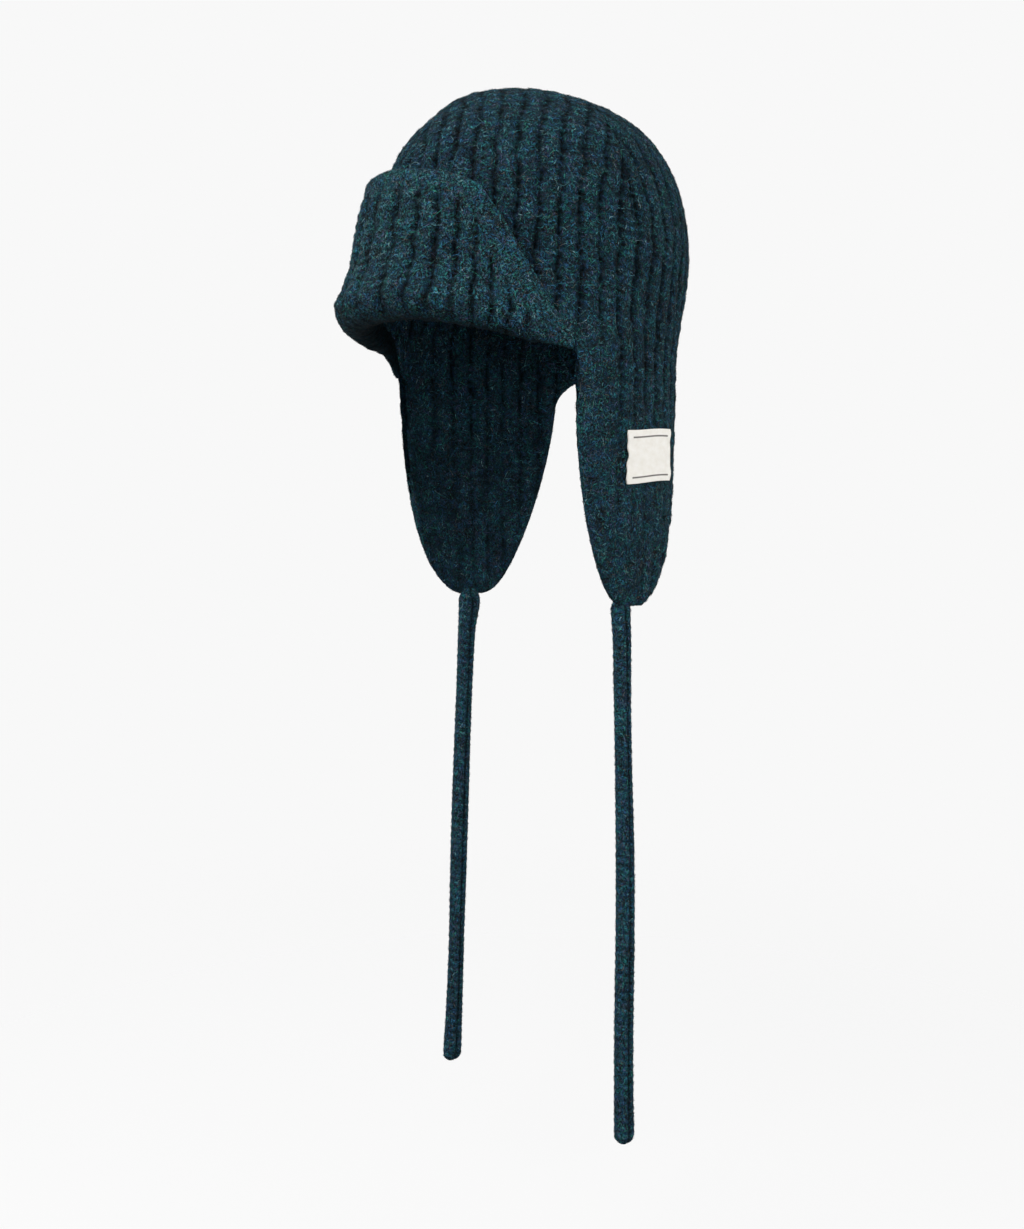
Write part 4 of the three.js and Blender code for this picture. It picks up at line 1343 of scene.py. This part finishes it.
def fibre_paths(chance, mesh, points, corners, crest, count, length):
    """Curved paths that start all over a knit, most of them on the crests of its outer side."""
    a, b, c = (points[corners[:, corner]] for corner in range(3))
    normals = np.cross(b - a, c - a)
    areas = np.linalg.norm(normals, axis=1)
    normals = normals / np.maximum(areas, 1e-18)[:, None]
    weights = areas * (FIBRE_VALLEY_SHARE + crest[corners].mean(axis=1))
    if "inner" in mesh.attributes:
        inner = read_attribute(mesh, "inner")[corners].mean(axis=1) > 0.5
        weights = weights * np.where(inner, FIBRE_INNER_SHARE, 1)
    chosen = chance.choice(len(corners), count, p=weights / weights.sum())
    share = np.sort(chance.random((count, 2)), axis=1)
    start = (
        a[chosen] * share[:, :1]
        + b[chosen] * (share[:, 1:] - share[:, :1])
        + c[chosen] * (1 - share[:, 1:])
    )
    up = normals[chosen]
    side = np.cross(up, chance.normal(size=(count, 3)))
    side = side / np.linalg.norm(side, axis=1)[:, None]
    ahead = np.cross(up, side)
    bend = chance.normal(size=count) * FIBRE_BEND
    reach = length * chance.lognormal(0, FIBRE_LENGTH_SPREAD, count) / FIBRE_SEGMENTS
    heading = np.zeros(count)
    path = [start]
    for _ in range(FIBRE_SEGMENTS):
        heading = heading + bend * chance.uniform(0.2, 1.2, count)
        step = ahead * np.cos(heading)[:, None] + side * np.sin(heading)[:, None]
        path.append(path[-1] + step * reach[:, None])
    return path


def lay_on(chance, path, points, corners, crest):
    """The paths laid a little above the knit, the knit's normals there and its crest under them."""
    count = len(path[0])
    tree = BVHTree.FromPolygons(points.tolist(), corners.tolist())
    rise = chance.uniform(*FIBRE_RISES, count)
    lifted = np.empty((count, FIBRE_SEGMENTS + 1, 3))
    normals = np.empty((count, FIBRE_SEGMENTS + 1, 3))
    under = np.empty((count, FIBRE_SEGMENTS + 1), dtype=np.float32)
    for step, line in enumerate(path):
        height = rise * (0.4 + 1.2 * math.sin(math.pi * (step + 0.5) / (FIBRE_SEGMENTS + 1)))
        for index in range(count):
            found, normal, face, _ = tree.find_nearest(Vector(line[index]))
            under[index, step] = crest[corners[face, 0]]
            lifted[index, step] = found + normal * height[index]
            normals[index, step] = normal
    return lifted, normals, under


def brush_up(name, carrier, count, length, width, seed):
    """Brushed fibres over a knitted piece, joined into one mesh."""
    chance = np.random.default_rng(seed)
    mesh = carrier.data
    mesh.calc_loop_triangles()
    corners = np.empty(len(mesh.loop_triangles) * 3, dtype=int)
    mesh.loop_triangles.foreach_get("vertices", corners)
    corners = corners.reshape(-1, 3)
    points = np.empty(len(mesh.vertices) * 3)
    mesh.vertices.foreach_get("co", points)
    points = points.reshape(-1, 3)
    crest = read_attribute(mesh, "crest")
    path = fibre_paths(chance, mesh, points, corners, crest, count, length)
    lifted, normals, under = lay_on(chance, path, points, corners, crest)
    across = np.cross(np.gradient(lifted, axis=1), normals)
    across = across / np.maximum(np.linalg.norm(across, axis=2), 1e-12)[..., None]
    half = width / 2 * chance.uniform(*FIBRE_WIDTH_SPREAD, count)[:, None, None]
    half = half * FIBRE_TAPER[None, :, None]
    vertices = np.stack([lifted - across * half, lifted + across * half], axis=2)
    first = np.arange(count)[:, None] * (FIBRE_SEGMENTS + 1) * 2
    first = first + np.arange(FIBRE_SEGMENTS)[None, :] * 2
    faces = np.stack([first, first + 1, first + 3, first + 2], axis=-1).reshape(-1, 4)
    fuzz = bpy.data.meshes.new(name)
    fuzz.from_pydata(vertices.reshape(-1, 3).tolist(), [], faces.tolist())
    piece = bpy.data.objects.new(name, fuzz)
    bpy.context.collection.objects.link(piece)
    set_attribute(piece, "yarn", np.repeat(chance.random(count), (FIBRE_SEGMENTS + 1) * 2))
    # Each fibre carries the painted shade of the knit under it.
    set_attribute(piece, "crest", np.repeat(under.ravel(), 2))
    fuzz.materials.append(fibre_wool)
    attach(piece, "root")


for seed, name in enumerate(("crown_fibres", "crown_top_fibres"), start=31):
    brush_up(name, crown, **FIBRES["crown"], seed=seed)
brush_up("brim_fibres", brim, **FIBRES["brim"], seed=22)
for seed, (name, tie) in enumerate(ties.items(), start=23):
    brush_up(name + "_fibres", tie, **FIBRES["tie"], seed=seed)
